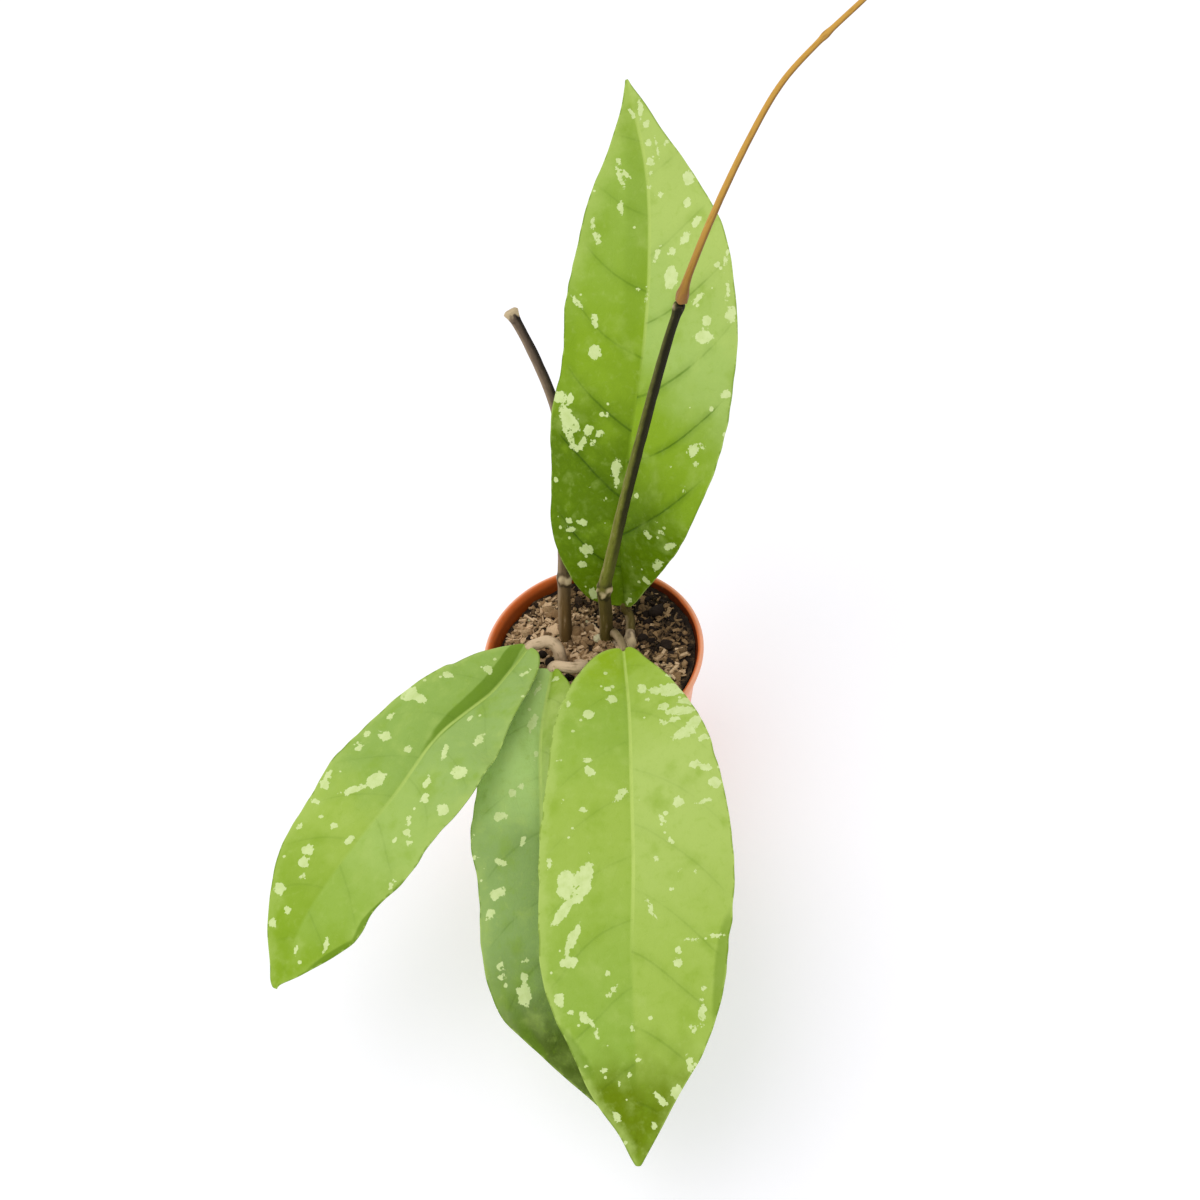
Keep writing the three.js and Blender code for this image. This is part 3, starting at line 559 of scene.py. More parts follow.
class Paint:
    """A material, written as expressions on its sockets."""

    def __init__(self, name):
        self.material = bpy.data.materials.new(name)
        self.material.use_nodes = True
        self.tree = self.material.node_tree
        self.tree.nodes.clear()

    def node(self, kind, settings=(), sockets=()):
        """Adds a node of that type. Its settings are set first, then its sockets' values or links."""
        node = self.tree.nodes.new(kind)
        for name, value in dict(settings).items():
            setattr(node, name, value)
        for name, value in dict(sockets).items():
            if isinstance(value, Value):
                self.tree.links.new(value.socket, node.inputs[name])
            elif isinstance(value, tuple) and node.inputs[name].type == "RGBA":
                node.inputs[name].default_value = (*value[:3], 1)
            else:
                node.inputs[name].default_value = value
        return node

    def value(self, node, output=0):
        return Value(self, node.outputs[output])

    def math(self, operation, *numbers):
        return self.value(self.node("ShaderNodeMath", {"operation": operation}, enumerate(numbers)))

    def most(self, first, second):
        return self.math("MAXIMUM", first, second)

    def step(self, value, low, high):
        """0 below low, 1 above high, with a soft step between."""
        sockets = {"Value": value, "From Min": low, "From Max": high}
        return self.value(self.node("ShaderNodeMapRange", {"interpolation_type": "SMOOTHSTEP"}, sockets))

    def near(self, value, core, rim):
        """1 where a number is within core of 0, and 0 beyond rim."""
        return 1 - self.step(abs(value), core, rim)

    def mix(self, factor, first, second, blend="MIX"):
        """Goes from one colour to another. Each is a socket or a setting's three numbers."""
        settings = {"data_type": "RGBA", "blend_type": blend}
        first, second = [tone if isinstance(tone, Value) else tuple(tone) for tone in (first, second)]
        return self.value(self.node("ShaderNodeMix", settings, {0: factor, 6: first, 7: second}), 2)

    def attribute(self, name, output="Vector"):
        return self.value(self.node("ShaderNodeAttribute", {"attribute_name": name}), output)

    def place(self):
        return self.value(self.node("ShaderNodeTexCoord"), "Object")

    def scaled(self, vector, *scale):
        sockets = {0: vector, 1: scale if len(scale) == 3 else scale * 3}
        return self.value(self.node("ShaderNodeVectorMath", {"operation": "MULTIPLY"}, sockets))

    def split(self, vector):
        node = self.node("ShaderNodeSeparateXYZ", (), {0: vector})
        return [self.value(node, axis) for axis in range(3)]

    def noise(self, vector, size, detail=2, roughness=0.5):
        """Cloudy noise round 0, whose clouds are about as large as size."""
        sockets = {"Vector": vector, "Scale": 1 / size, "Detail": detail, "Roughness": roughness}
        return self.value(self.node("ShaderNodeTexNoise", (), sockets)) - 0.5

    def cells(self, vector, size, feature="F1", output="Distance"):
        sockets = {"Vector": vector, "Scale": 1 / size}
        return self.value(self.node("ShaderNodeTexVoronoi", {"feature": feature}, sockets), output)

    def finish(self, tone, roughness, height, relief, shine=0.5, glow=0):
        """The shader. Relief is how far the height's full range stands out, in millimetres."""
        bump = self.node("ShaderNodeBump", (), {"Distance": relief * MM, "Height": height})
        shader = self.node("ShaderNodeBsdfPrincipled", (), {
            "Base Color": tone,
            "Roughness": roughness,
            "Normal": self.value(bump),
            "Specular IOR Level": shine,
            "Emission Color": (1, 1, 1),
            "Emission Strength": glow,
        })
        self.node("ShaderNodeOutputMaterial", (), {"Surface": self.value(shader)})
        return self.material


def leaf_paint(name, leaf, colours, leaf_length):
    """The upper face's tones with their painted light and shade, margins, veins, splashes and specks, and
    the paler lower face.
    """
    paint = Paint(name)
    blade = paint.attribute("blade")
    along, across, under = paint.split(blade)
    edge = paint.attribute("edge", "Fac")
    drift = along + paint.most(across, 0) * leaf["slant"]
    drift = drift + paint.noise(blade, 22) * 30 + paint.noise(blade, 6, detail=4) * 14

    def half(stops):
        """The tones of one half of the blade, one after another from its base to its tip."""
        start, first = stops[0]
        tone = getattr(colours, first)
        for share, name in stops[1:]:
            arrive = paint.step(drift, start * leaf_length, share * leaf_length)
            tone = paint.mix(arrive, tone, getattr(colours, name))
            start = share
        return tone

    # Each half's tones carry painted light and shade: the lit half is paler than the shaded one.
    tone = paint.mix(paint.step(across, -1, 1), half(leaf["left_tones"]), half(leaf["right_tones"]))
    cloud = paint.noise(blade, 9, detail=4)
    broad = paint.noise(blade, 24, detail=3)
    tone = paint.mix(paint.step(cloud + broad, 0.02, 0.36) * 0.48, tone, colours.bright)
    tone = paint.mix(paint.step(cloud + broad, -0.02, -0.36) * 0.42, tone, colours.straw)
    mottle = paint.noise(blade, 3.4, detail=5, roughness=0.6)
    tone = paint.mix(paint.step(mottle, 0.02, 0.26) * 0.26, tone, colours.bright)
    tone = paint.mix(paint.step(mottle, -0.02, -0.26) * 0.26, tone, colours.straw)
    # The gleam is a painted highlight along the margins, in the palest green.
    left_gleam, right_gleam, gleam_width, gleam_start = leaf["gleam"]
    gleam = left_gleam + (right_gleam - left_gleam) * paint.step(across, -1, 1)
    comes, shows = (gleam_start - 0.1) * leaf_length, (gleam_start + 0.1) * leaf_length
    gleam = gleam * paint.step(along, comes, shows)
    gleam = gleam * paint.step(edge + mottle * 6 + cloud * gleam_width, gleam_width, 0.5)
    tone = paint.mix(gleam, tone, colours.straw)

    # Patches of painted shade, darker with soft rims.
    depth, softness = leaf["painted_shade_look"]
    painted_shade = paint.step(paint.attribute("painted_shade", "Fac") + cloud * 2.4 * softness, -softness, softness)
    painted_shade = painted_shade * paint.step(abs(across), 0.1, 0.6) * depth
    tone = paint.mix(painted_shade, tone, colours.painted_shade)

    # The vein attribute counts the side veins. They lie half a step further on in the left half.
    vein = paint.attribute("vein", "Fac") + 0.5 * paint.step(across, -0.01, 0.01)
    offset = (paint.math("FRACT", vein) - 0.5) * leaf["veins"][1]
    offset = offset + paint.noise(blade, 3) * 0.5
    calm = paint.step(edge, 1, 7) * paint.attribute("relief", "Fac")
    calm = calm * paint.step(broad + cloud, -0.35, 0.15)
    line = paint.near(offset, 0.1, 0.8) * calm
    vein_valley_shade = paint.near(offset, 0.5, 4.5) * calm
    flat = paint.scaled(blade, 1, 1, 0)
    net = paint.cells(flat, 5.5, "DISTANCE_TO_EDGE")
    net = paint.near(net, 0.01, 0.06) * paint.step(edge, 0.5, 3)
    # The broad bands are painted shade in the sunken veins' valleys; the thin lines are the veins
    # themselves.
    tone = paint.mix(vein_valley_shade * 0.35, tone, colours.vein, "MULTIPLY")
    tone = paint.mix(line * 0.75, tone, colours.vein, "MULTIPLY")
    strength, comes, shows, fades, ends = leaf["rib"]
    rib = paint.near(across, 0.3, 0.95) * paint.step(along, comes, shows)
    rib = rib * paint.step(along, ends, fades)
    tone = paint.mix(rib * strength * paint.step(cloud, -0.35, 0.05), tone, colours.rib)
    brim = paint.mix(paint.step(broad + mottle, -0.06, 0.06), colours.straw, colours.deep)
    tone = paint.mix(paint.near(edge, 0.25, 0.8) * 0.45, tone, brim)

    # Splashes have a ragged rim and small gaps, and specks are scattered between them.
    patch = paint.attribute("splash", "Fac")
    ragged = paint.noise(blade, 2, detail=5, roughness=0.62) * 3.7
    splash = paint.step(patch + ragged, -0.06, 0.16)
    gaps = paint.step(paint.noise(paint.scaled(blade, 1, 0.6, 1), 1.6), 0.16, 0.22)
    splash = splash * (1 - gaps)
    around = paint.step(patch, -PATCH_REACH, -0.5) * 0.05
    for size, share, reach in ((7.5, 0.05, 0.16), (3.6, 0.025, 0.2)):
        chance = paint.split(paint.cells(flat, size, output="Color"))[0] + broad * 0.15 + around
        reach = paint.step(chance, 1 - share * leaf["specks"], 1.0) * reach
        speck = paint.step(reach + paint.noise(blade, 1.2) * 0.12 - paint.cells(flat, size), 0, 0.03)
        splash = paint.most(splash, speck)
    splash = splash * (1 - under)
    bleach = paint.step(paint.noise(blade, 3, detail=3), -0.2, 0.4) * 0.5
    fresh = 0.84 + paint.step(along, 0.15 * leaf_length, 0.45 * leaf_length) * 0.1
    tone = paint.mix(splash * fresh, tone, paint.mix(bleach, colours.splash, colours.straw))

    # The lower face is paler and dull, with raised veins.
    raised = paint.most(line, paint.near(across, 0.8, 2))
    below = paint.mix(raised * 0.6, colours.under, colours.rib)
    below = paint.mix(paint.step(cloud, 0, 0.4) * 0.4, below, colours.silver)
    tone = paint.mix(paint.step(under, 0.3, 0.7), tone, below)

    roughness = 0.42 + paint.noise(blade, 5) * 0.12 + splash * 0.12 + under * 0.2
    grain = paint.noise(blade, 0.6, detail=3) * 0.16
    height = 0.5 + grain + cloud * 0.3 - line * (1 - 2 * under) * 0.35 - net * 0.06 - splash * 0.06
    return paint.finish(tone, roughness, height, 0.5, shine=0.1)


def bark_paint(name, colours, foot, middle, top):
    """Bark that goes from the foot's colour to the top's, with a painted lit edge and painted shade on its
    sides, and the pale skin of the leaf stalks.
    """
    paint = Paint(name)
    grain = paint.attribute("grain")
    climb, shade_side, kind = paint.split(paint.attribute("bark"))
    swelling = paint.attribute("swelling", "Fac")
    streaks = paint.noise(paint.scaled(grain, 0.16, 1, 1), 0.9, detail=5, roughness=0.65)
    patches = paint.noise(grain, 3.5, detail=3)
    base = paint.mix(paint.step(climb, 0.26, 0.36), foot, middle)
    base = paint.mix(paint.step(climb, 0.5, 0.9), base, top)
    base = paint.mix(paint.step(streaks, 0.02, 0.25) * 0.5, base, colours.dark_bark_and_shade)
    base = paint.mix(paint.step(streaks, -0.05, -0.3) * 0.35, base, colours.stalk)
    # A painted lit edge on the side away from the shade, and painted shade on the side that faces it,
    # reaching further round towards the top.
    lit_edge = paint.step(shade_side + patches * 0.4, -0.5, -1) * 0.3
    base = paint.mix(lit_edge, base, colours.stalk)
    shaded = paint.step(shade_side + patches * 0.5 + climb * 0.6, 0, 0.75)
    shaded = shaded * (0.45 + paint.step(climb, 0.3, 0.55) * 0.45)
    base = paint.mix(shaded, base, colours.dark_bark_and_shade)
    # The stalks carry the same painted shade.
    stalky = paint.step(shade_side + patches, 0.1, 0.9) * 0.7
    stalky = paint.mix(stalky, colours.stalk, colours.dark_bark_and_shade)
    stalky = paint.mix(paint.step(patches + streaks, 0.02, 0.35) * 0.55, stalky, foot)
    tone = paint.mix(paint.step(kind + patches * 0.4, 0.1, 0.9), base, stalky)
    pale = paint.step(swelling + patches * 0.6, 0.35, 0.8)
    tone = paint.mix(pale * 0.8, tone, colours.ring)
    rim = paint.near(swelling - 0.25, 0.05, 0.2) * paint.step(patches, -0.2, 0.1)
    tone = paint.mix(rim * 0.6, tone, colours.dark_bark_and_shade)
    height = 0.5 + streaks * 0.7 + patches * 0.3
    roughness = 0.72 + streaks * 0.2
    return paint.finish(tone, roughness, height, 0.5, shine=0.15)


def vine_paint(name, colours):
    """Smooth orange skin with fine streaks, with painted shade on one side, and duller on its swellings."""
    paint = Paint(name)
    grain = paint.attribute("grain")
    climb, shade_side, _ = paint.split(paint.attribute("bark"))
    swelling = paint.attribute("swelling", "Fac")
    streaks = paint.noise(paint.scaled(grain, 0.12, 1, 1), 0.5, detail=4)
    patches = paint.noise(grain, 4)
    # Painted shade on the vine's shaded side.
    shaded = paint.step(shade_side + patches * 0.4, -0.2, 0.6)
    tone = paint.mix(paint.step(climb, 0.35, 0.02) * 0.5, colours.vine, colours.dark_vine_and_shade)
    tone = paint.mix(shaded * 0.85, tone, colours.dark_vine_and_shade)
    tone = paint.mix(paint.step(streaks, 0, 0.3) * 0.4, tone, colours.dark_vine_and_shade)
    tone = paint.mix(paint.step(swelling + patches * 0.5, 0.2, 0.7) * 0.6, tone, colours.collar)
    height = 0.5 + streaks * 0.5 + patches * 0.2
    return paint.finish(tone, 0.5 + streaks * 0.2, height, 0.25, shine=0.2)


def pot_paint(name, colours):
    """Plastic with dust and scratches, whose inner wall carries painted light just under the lip on the left
    and painted shade further down and to the right.
    """
    paint = Paint(name)
    place = paint.scaled(paint.place(), 1 / MM)
    inside, rim, _ = paint.split(paint.attribute("wall"))
    to_right, to_back, _ = paint.split(place)
    cloud = paint.noise(place, 14, detail=4)
    # Painted light and shade on the inner wall: lit on the left, shaded to the right and the back, and
    # darker further below the lip.
    lit = paint.step(to_right - to_back * 0.4 + cloud * 30, 26, -34)
    inner = paint.mix(lit, colours.plastic_deep_shade, colours.plastic_shade)
    reach = 1.4 + lit * 2
    inner = paint.mix(paint.step(rim + cloud * 2, reach, reach * 0.25), inner, colours.plastic_glow)
    tone = paint.mix(inside, colours.plastic, inner)
    # Random clouds of the lit orange over the whole pot.
    tone = paint.mix(paint.step(cloud, 0, 0.4) * 0.2, tone, colours.plastic_glow)
    stain = paint.noise(paint.scaled(place, 1, 1, 0.6), 3.2, detail=5, roughness=0.7)
    dusty = paint.step(stain, 0.12, 0.3) * (0.1 + inside * 0.2)
    tone = paint.mix(dusty, tone, colours.dust)
    worn = paint.near(rim, 0.2, 0.9) * paint.step(paint.noise(place, 2.2, detail=4), -0.1, 0.2)
    tone = paint.mix(worn * 0.2, tone, colours.dust)
    scratches = paint.noise(paint.scaled(place, 0.35, 0.35, 4), 1.6, detail=4)
    roughness = 0.42 + dusty * 0.4 + scratches * 0.2
    height = 0.5 + paint.noise(place, 0.7, detail=3) * 0.25 + scratches * 0.25 + dusty * 0.3
    return paint.finish(tone, roughness, height, 0.18, shine=0.3)


def soil_paint(name, colours):
    """Bark from dark to light, and pale grit, as each chip's litter attribute says."""
    paint = Paint(name)
    place = paint.scaled(paint.place(), 1 / MM)
    tone, grit, chance = paint.split(paint.attribute("litter"))
    fine = paint.noise(place, 0.7, detail=4, roughness=0.7)
    level = tone + fine * 0.55 + (chance - 0.5) * 0.25
    bark = paint.mix(paint.step(level, 0.05, 0.5), colours.dark, colours.middle)
    bark = paint.mix(paint.step(level, 0.5, 0.95), bark, colours.light)
    pale = paint.mix(paint.step(fine, -0.1, 0.25) * 0.5, colours.grit, colours.middle)
    litter = paint.mix(paint.step(grit, 0.4, 0.6), bark, pale)
    height = 0.5 + fine * 0.8
    return paint.finish(litter, 0.86 + fine * 0.1, height, 0.6, shine=0.3)


def floor_paint(name, colours):
    paint = Paint(name)
    place = paint.place()
    soft = paint.noise(place, 0.6, detail=3)
    tone = paint.mix(paint.step(soft, -0.4, 0.4) * 0.04, colours.floor, FLOOR_CLOUD)
    return paint.finish(tone, 0.9 + soft * 0.05, soft, 0.02, glow=colours.floor_glow)


# Meshes


def finish_piece(bm, name, material, slot, *nodes):
    """Turns a piece modelled in millimetres into a mesh in metres that stands for its nodes."""
    for face in bm.faces:
        face.smooth = True
    bmesh.ops.scale(bm, vec=(MM, MM, MM), verts=bm.verts)
    mesh = bpy.data.meshes.new(name)
    bm.to_mesh(mesh)
    bm.free()
    mesh.set_sharp_from_angle(angle=math.radians(55))
    mesh.materials.append(material)
    piece = bpy.data.objects.new(name, mesh)
    bpy.context.scene.collection.objects.link(piece)
    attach(piece, "root")
    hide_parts(*nodes)
    return piece


def leaf_base(leaf):
    """Where a blade starts, and which way it heads there."""
    midrib = vectors(leaf["midrib"])
    heading = (spline(midrib, Row.STEP) - midrib[0]).normalized()
    return midrib[0], heading


class Row:
    """One row across a leaf: where it is on the midrib, and how wide and how folded its halves are."""

    STEP = 0.001

    def __init__(self, leaf, midrib, station, leaf_length):
        self.share = (1 - math.cos(math.pi * station)) / 2
        self.along = self.share * leaf_length
        self.place = spline(midrib, self.share)
        ahead = spline(midrib, min(self.share + self.STEP, 1))
        behind = spline(midrib, max(self.share - self.STEP, 0))
        heading = (ahead - behind).normalized()
        self.side = heading.cross(UP).normalized()
        self.normal = self.side.cross(heading)
        calm_ends = min(1, 6 * self.share, 6 * (1 - self.share))
        strong, faint = leaf["vein_strength"]
        self.veining = lerp(strong, faint, smooth(self.share, 0.35, 0.8))
        self.halves = {}
        self.splashes = patches_near(leaf["splashes"], self.along)
        self.painted_shades = patches_near(leaf["painted_shades"], self.along)
        for name in ("left", "right"):
            beats, height, start = leaf["wave_" + name]
            wave = height * math.sin(2 * math.pi * (beats * self.share + start)) * calm_ends
            fold = math.radians(spline(leaf["fold_" + name], self.share))
            self.halves[name] = (spline(leaf[name], station), fold, wave)


def vein_number(leaf, along, across, seed):
    """Counts side veins along the leaf. They leave the midrib steeply and curve towards the tip."""
    first, spacing = leaf["veins"]
    out = abs(across) / VEIN_SPREAD
    climb = VEIN_CLIMB * (0.55 * out + 0.45 * out * out)
    sway = 4 * noise.noise(Vector((along / 40, math.copysign(out, across), seed)))
    return (along - climb - first + sway) / spacing


def patches_near(patches, along):
    """The patches that a row across the leaf may touch, with their turn as a cosine and a sine."""
    near = []
    for (start, aside, patch_length, patch_width, turn) in patches:
        if abs(along - start) < (patch_length + patch_width) / 2 + PATCH_REACH:
            angle = math.radians(turn)
            near.append((start, aside, patch_length, patch_width, math.cos(angle), math.sin(angle)))
    return near


def patch_depth(near, along, across):
    """How deep a point lies inside the nearest patch, in millimetres, and below 0 outside them."""
    deepest = -PATCH_REACH
    for (start, aside, patch_length, patch_width, cosine, sine) in near:
        ahead, out = along - start, across - aside
        forward = ahead * cosine + out * sine
        sideways = out * cosine - ahead * sine
        reach = math.hypot(2 * forward / patch_length, 2 * sideways / patch_width)
        deepest = max(deepest, (1 - reach) * min(patch_length, patch_width) / 2)
    return deepest


def blade(leaf, sizes, seed):
    """A flat slab of even cells, bent into the leaf's shape."""
    rows = sizes.rows
    midrib = vectors(leaf["midrib"])
    leaf_length = Route(leaf["midrib"], 1).length
    table = [Row(leaf, midrib, row / rows, leaf_length) for row in range(rows + 1)]
    bm = bmesh.new()
    bmesh.ops.create_grid(bm, x_segments=sizes.columns, y_segments=rows, size=1)
    bmesh.ops.solidify(bm, geom=bm.faces[:], thickness=0.5)
    place_layer = bm.verts.layers.float_vector.new("blade")
    names = ("edge", "vein", "relief", "splash", "painted_shade")
    layers = [bm.verts.layers.float.new(name) for name in names]
    for vert in bm.verts:
        share, station, is_lower = vert.co.x, (vert.co.y + 1) / 2, vert.co.z < -0.25
        row = table[round(station * rows)]
        width, fold, wave = row.halves["left" if share < 0 else "right"]
        out = abs(share)
        ripple = noise.noise(Vector((row.along / RIPPLE_LENGTH, math.copysign(3, share), seed)))
        width *= 1 + RIPPLE_HEIGHT * ripple * smooth(out, 0.7, 1)
        across = width * share
        number = vein_number(leaf, row.along, across, seed)
        beat = number + (0.5 if share >= 0 else 0)
        from_vein = (beat - math.floor(beat) - 0.5) * leaf["veins"][1]
        edge = width * (1 - out)
        calm = smooth(edge, 0, 6) * smooth(abs(across), 0, 3) * row.veining
        rise = width * math.sin(fold) * (out - BLADE_LEVELLING * out * out) + wave * out * out
        rise -= mm(sizes.pillow) * calm * bell(from_vein, VALLEY_WIDTH)
        rise -= mm(sizes.groove) * bell(across, GROOVE_WIDTH) * (1 - row.share)
        bumps = noise.noise(Vector((row.along / BUMP_LENGTH, across / BUMP_LENGTH, seed + 5)))
        rise += BUMP_HEIGHT * bumps * smooth(edge, 0, 4)
        swell = math.exp(-row.share / SWELL_SHARE)
        half = mm(sizes.thickness) / 2 * lerp(1, MARGIN_THINNING, smooth(out, 0.9, 1)) + swell
        point = row.place + row.side * across * math.cos(fold)
        if is_lower:
            keel = mm(sizes.keel) * bell(across, KEEL_WIDTH) * (1 - row.share)
            rise -= half + keel + RAISED_HEIGHT * calm * bell(from_vein, RAISED_WIDTH)
        else:
            rise += half
        vert[place_layer] = Vector((row.along, across, 1.0 if is_lower else 0.0))
        splash = patch_depth(row.splashes, row.along, across)
        painted_shade = patch_depth(row.painted_shades, row.along, across)
        for layer, value in zip(layers, (edge, number, row.veining, splash, painted_shade)):
            vert[layer] = value
        vert.co = point + row.normal * rise
    return bm, leaf_length


def knuckle_height(knuckles, share):
    return sum(size * bell(share - at, width) for at, size, width in knuckles)


def limb_mesh():
    """An empty mesh with what the bark's material reads."""
    bm = bmesh.new()
    bm.verts.layers.float_vector.new("grain")
    bm.verts.layers.float_vector.new("bark")
    bm.verts.layers.float.new("swelling")
    return bm


def tube(bm, limb, sides, steps, seed, roughness=0.06):
    """Rolls a grid into a closed limb along its route, with the bark's coordinates on it."""
    grain_layer = bm.verts.layers.float_vector["grain"]
    bark_layer = bm.verts.layers.float_vector["bark"]
    swelling_layer = bm.verts.layers.float["swelling"]
    route = Route(limb["route"], steps)
    grid = bmesh.ops.create_grid(bm, x_segments=sides, y_segments=steps, size=1)["verts"]
    for vert in grid:
        turn = math.pi * (vert.co.x + 1)
        step = round((vert.co.y + 1) / 2 * steps)
        share = step / steps
        side = route.sides[step]
        over = route.headings[step].cross(side)
        outward = side * math.cos(turn) + over * math.sin(turn)
        knuckle = knuckle_height(limb.get("knuckles", ()), share)
        reach = lerp(*limb["radius"], share) + knuckle
        walked = share * route.length
        near_end = min(walked, route.length - walked)
        reach *= math.sqrt(1 - max(0, 1 - near_end / END_ROUNDING) ** 2) * 0.25 + 0.75
        swirl = noise.noise(Vector((walked / 5, outward.dot(UP) * 1.5, seed)) + outward * 1.2)
        lump = noise.noise(outward * 1.6 + Vector((seed, walked / 3, 0)))
        reach *= 1 + roughness * swirl + 0.22 * min(knuckle, 1) * lump
        vert[swelling_layer] = knuckle * (1 + lump)
        vert[grain_layer] = Vector((walked, reach * math.cos(turn), reach * math.sin(turn) + seed * 20))
        climb = 0 if "paleness" in limb else share
        gloom = limb.get("gloom", 0) * share
        vert[bark_layer] = Vector((climb, outward.dot(SHADE_SIDE) + gloom, limb.get("paleness", 0)))
        vert.co = route.places[step] + outward * reach
    bmesh.ops.remove_doubles(bm, verts=grid, dist=MERGE)
    faces = {face for vert in grid if vert.is_valid for face in vert.link_faces}
    edges = [edge for edge in {e for face in faces for e in face.edges} if edge.is_boundary]
    caps = bmesh.ops.holes_fill(bm, edges=edges, sides=0)["faces"]
    bmesh.ops.recalc_face_normals(bm, faces=[*faces, *caps])


def stalk_of(leaf):
    """A leaf's stalk, which runs on into the blade's thick base."""
    base, heading = leaf_base(leaf)
    limb = leaf["stalk"]
    ends = [base - heading * STALK_LEAD, base + heading * STALK_REACH]
    return {**limb, "route": [*limb["route"], *ends]}


def wall_radius(pot, z):
    """The tapered wall's outer radius at a height, below the rim's band."""
    shoulder = mm(pot.rim_radius - pot.lip_radius - pot.band_step)
    return lerp(mm(pot.base_radius), shoulder, z / mm(pot.height - pot.band_height))


def inner_radius(pot, z):
    """The inner wall's radius at a height. Above the shoulder it widens to the lip."""
    shoulder = mm(pot.height - pot.band_height) - BAND_SLOPE
    widening = mm(pot.band_step + pot.wall - pot.lip_radius)
    climb = (z - shoulder) / (mm(pot.height - pot.lip_radius) - shoulder)
    return wall_radius(pot, min(z, shoulder)) - mm(pot.wall) + widening * min(max(climb, 0), 1)


def soil_height(soil, x, y):
    """The soil's surface without its loose chips: a shallow dish with low humps."""
    humps = math.sin(x / 6 + 0.4) * math.cos(y / 7.5) + 0.6 * math.sin(x / 3.1 + y / 4.3)
    dish = (x * x + y * y) / mm(soil.dish_radius) ** 2
    return mm(soil.top) + soil.rise * x + mm(soil.dish) * dish + 0.6 * humps


def arc(centre_r, centre_z, radius, start, end, steps):
    """Points of a round stretch of a profile, from one angle to another in degrees."""
    angles = [math.radians(lerp(start, end, i / steps)) for i in range(steps + 1)]
    return [(centre_r + radius * math.cos(a), centre_z + radius * math.sin(a)) for a in angles]


def spun(bm, profile, steps):
    """Spins a profile of radius and height about the upright axis, and closes it."""
    verts = [bm.verts.new((r, 0, z)) for r, z in profile]
    edges = [bm.edges.new(pair) for pair in zip(verts, verts[1:])]
    bmesh.ops.spin(bm, geom=[*verts, *edges], cent=(0, 0, 0), axis=(0, 0, 1), dvec=(0, 0, 0),
                   angle=2 * math.pi, steps=steps, use_merge=True)
    bmesh.ops.remove_doubles(bm, verts=bm.verts, dist=MERGE)
    bmesh.ops.recalc_face_normals(bm, faces=bm.faces)


# Operators


class CLIMBER_OT_stage(Operator):
    """Makes the pale floor, the soft light and the camera"""
    bl_idname = "climber.make_stage"
    bl_label = "Make Stage"

    def execute(self, context):
        studio = context.scene.climber_studio
        self.make_floor(context, studio)
        self.make_lights(context, studio)
        self.make_camera(context, studio)
        context.scene.view_settings.view_transform = "Standard"
        return {"FINISHED"}

    def make_floor(self, context, studio):
        bm = bmesh.new()
        bmesh.ops.create_grid(bm, x_segments=8, y_segments=8, size=FLOOR_REACH)
        mesh = bpy.data.meshes.new("floor")
        bm.to_mesh(mesh)
        bm.free()
        mesh.materials.append(floor_paint("floor_paint", studio))
        floor = bpy.data.objects.new("floor", mesh)
        context.scene.collection.objects.link(floor)

    def make_lights(self, context, studio):
        world = bpy.data.worlds.new("room")
        world.use_nodes = True
        sky = world.node_tree.nodes["Background"]
        sky.inputs["Color"].default_value = (1, 1, 1, 1)
        sky.inputs["Strength"].default_value = studio.world_strength
        context.scene.world = world
        light = bpy.data.lights.new("key", "AREA")
        light.energy = studio.key_power
        light.size = LIGHT_SIZE
        lamp = bpy.data.objects.new("key", light)
        lamp.location = LIGHT_PLACE
        lamp.rotation_euler = (Vector(LIGHT_AIM) - lamp.location).to_track_quat("-Z", "Y").to_euler()
        context.scene.collection.objects.link(lamp)

    def make_camera(self, context, studio):
        pot = context.scene.climber_pot
        rim = Vector((0, 0, pot.height))
        elevation, roll = math.radians(studio.elevation), math.radians(studio.roll)
        ray = Vector((0, math.cos(elevation), -math.sin(elevation)))
        turn = Quaternion(ray, roll)
        right = turn @ Vector((1, 0, 0))
        down = turn @ ray.cross(Vector((1, 0, 0)))
        half = IMAGE_SIZE / 2
        aim = Vector((studio.aim_x - half, studio.aim_y - half, studio.focal_pixels))
        swing = Vector((0, 0, 1)).rotation_difference(aim).to_matrix()
        axes = Matrix((right, down, ray)).transposed() @ swing.transposed()
        axes = axes @ Matrix.Diagonal((1, -1, -1))
        lens = bpy.data.cameras.new("camera")
        lens.sensor_width = SENSOR
        lens.lens = SENSOR * studio.focal_pixels / IMAGE_SIZE
        lens.clip_start = 0.01
        camera = bpy.data.objects.new("camera", lens)
        camera.matrix_world = Matrix.Translation(rim - ray * studio.distance) @ axes.to_4x4()
        context.scene.collection.objects.link(camera)
        context.scene.camera = camera


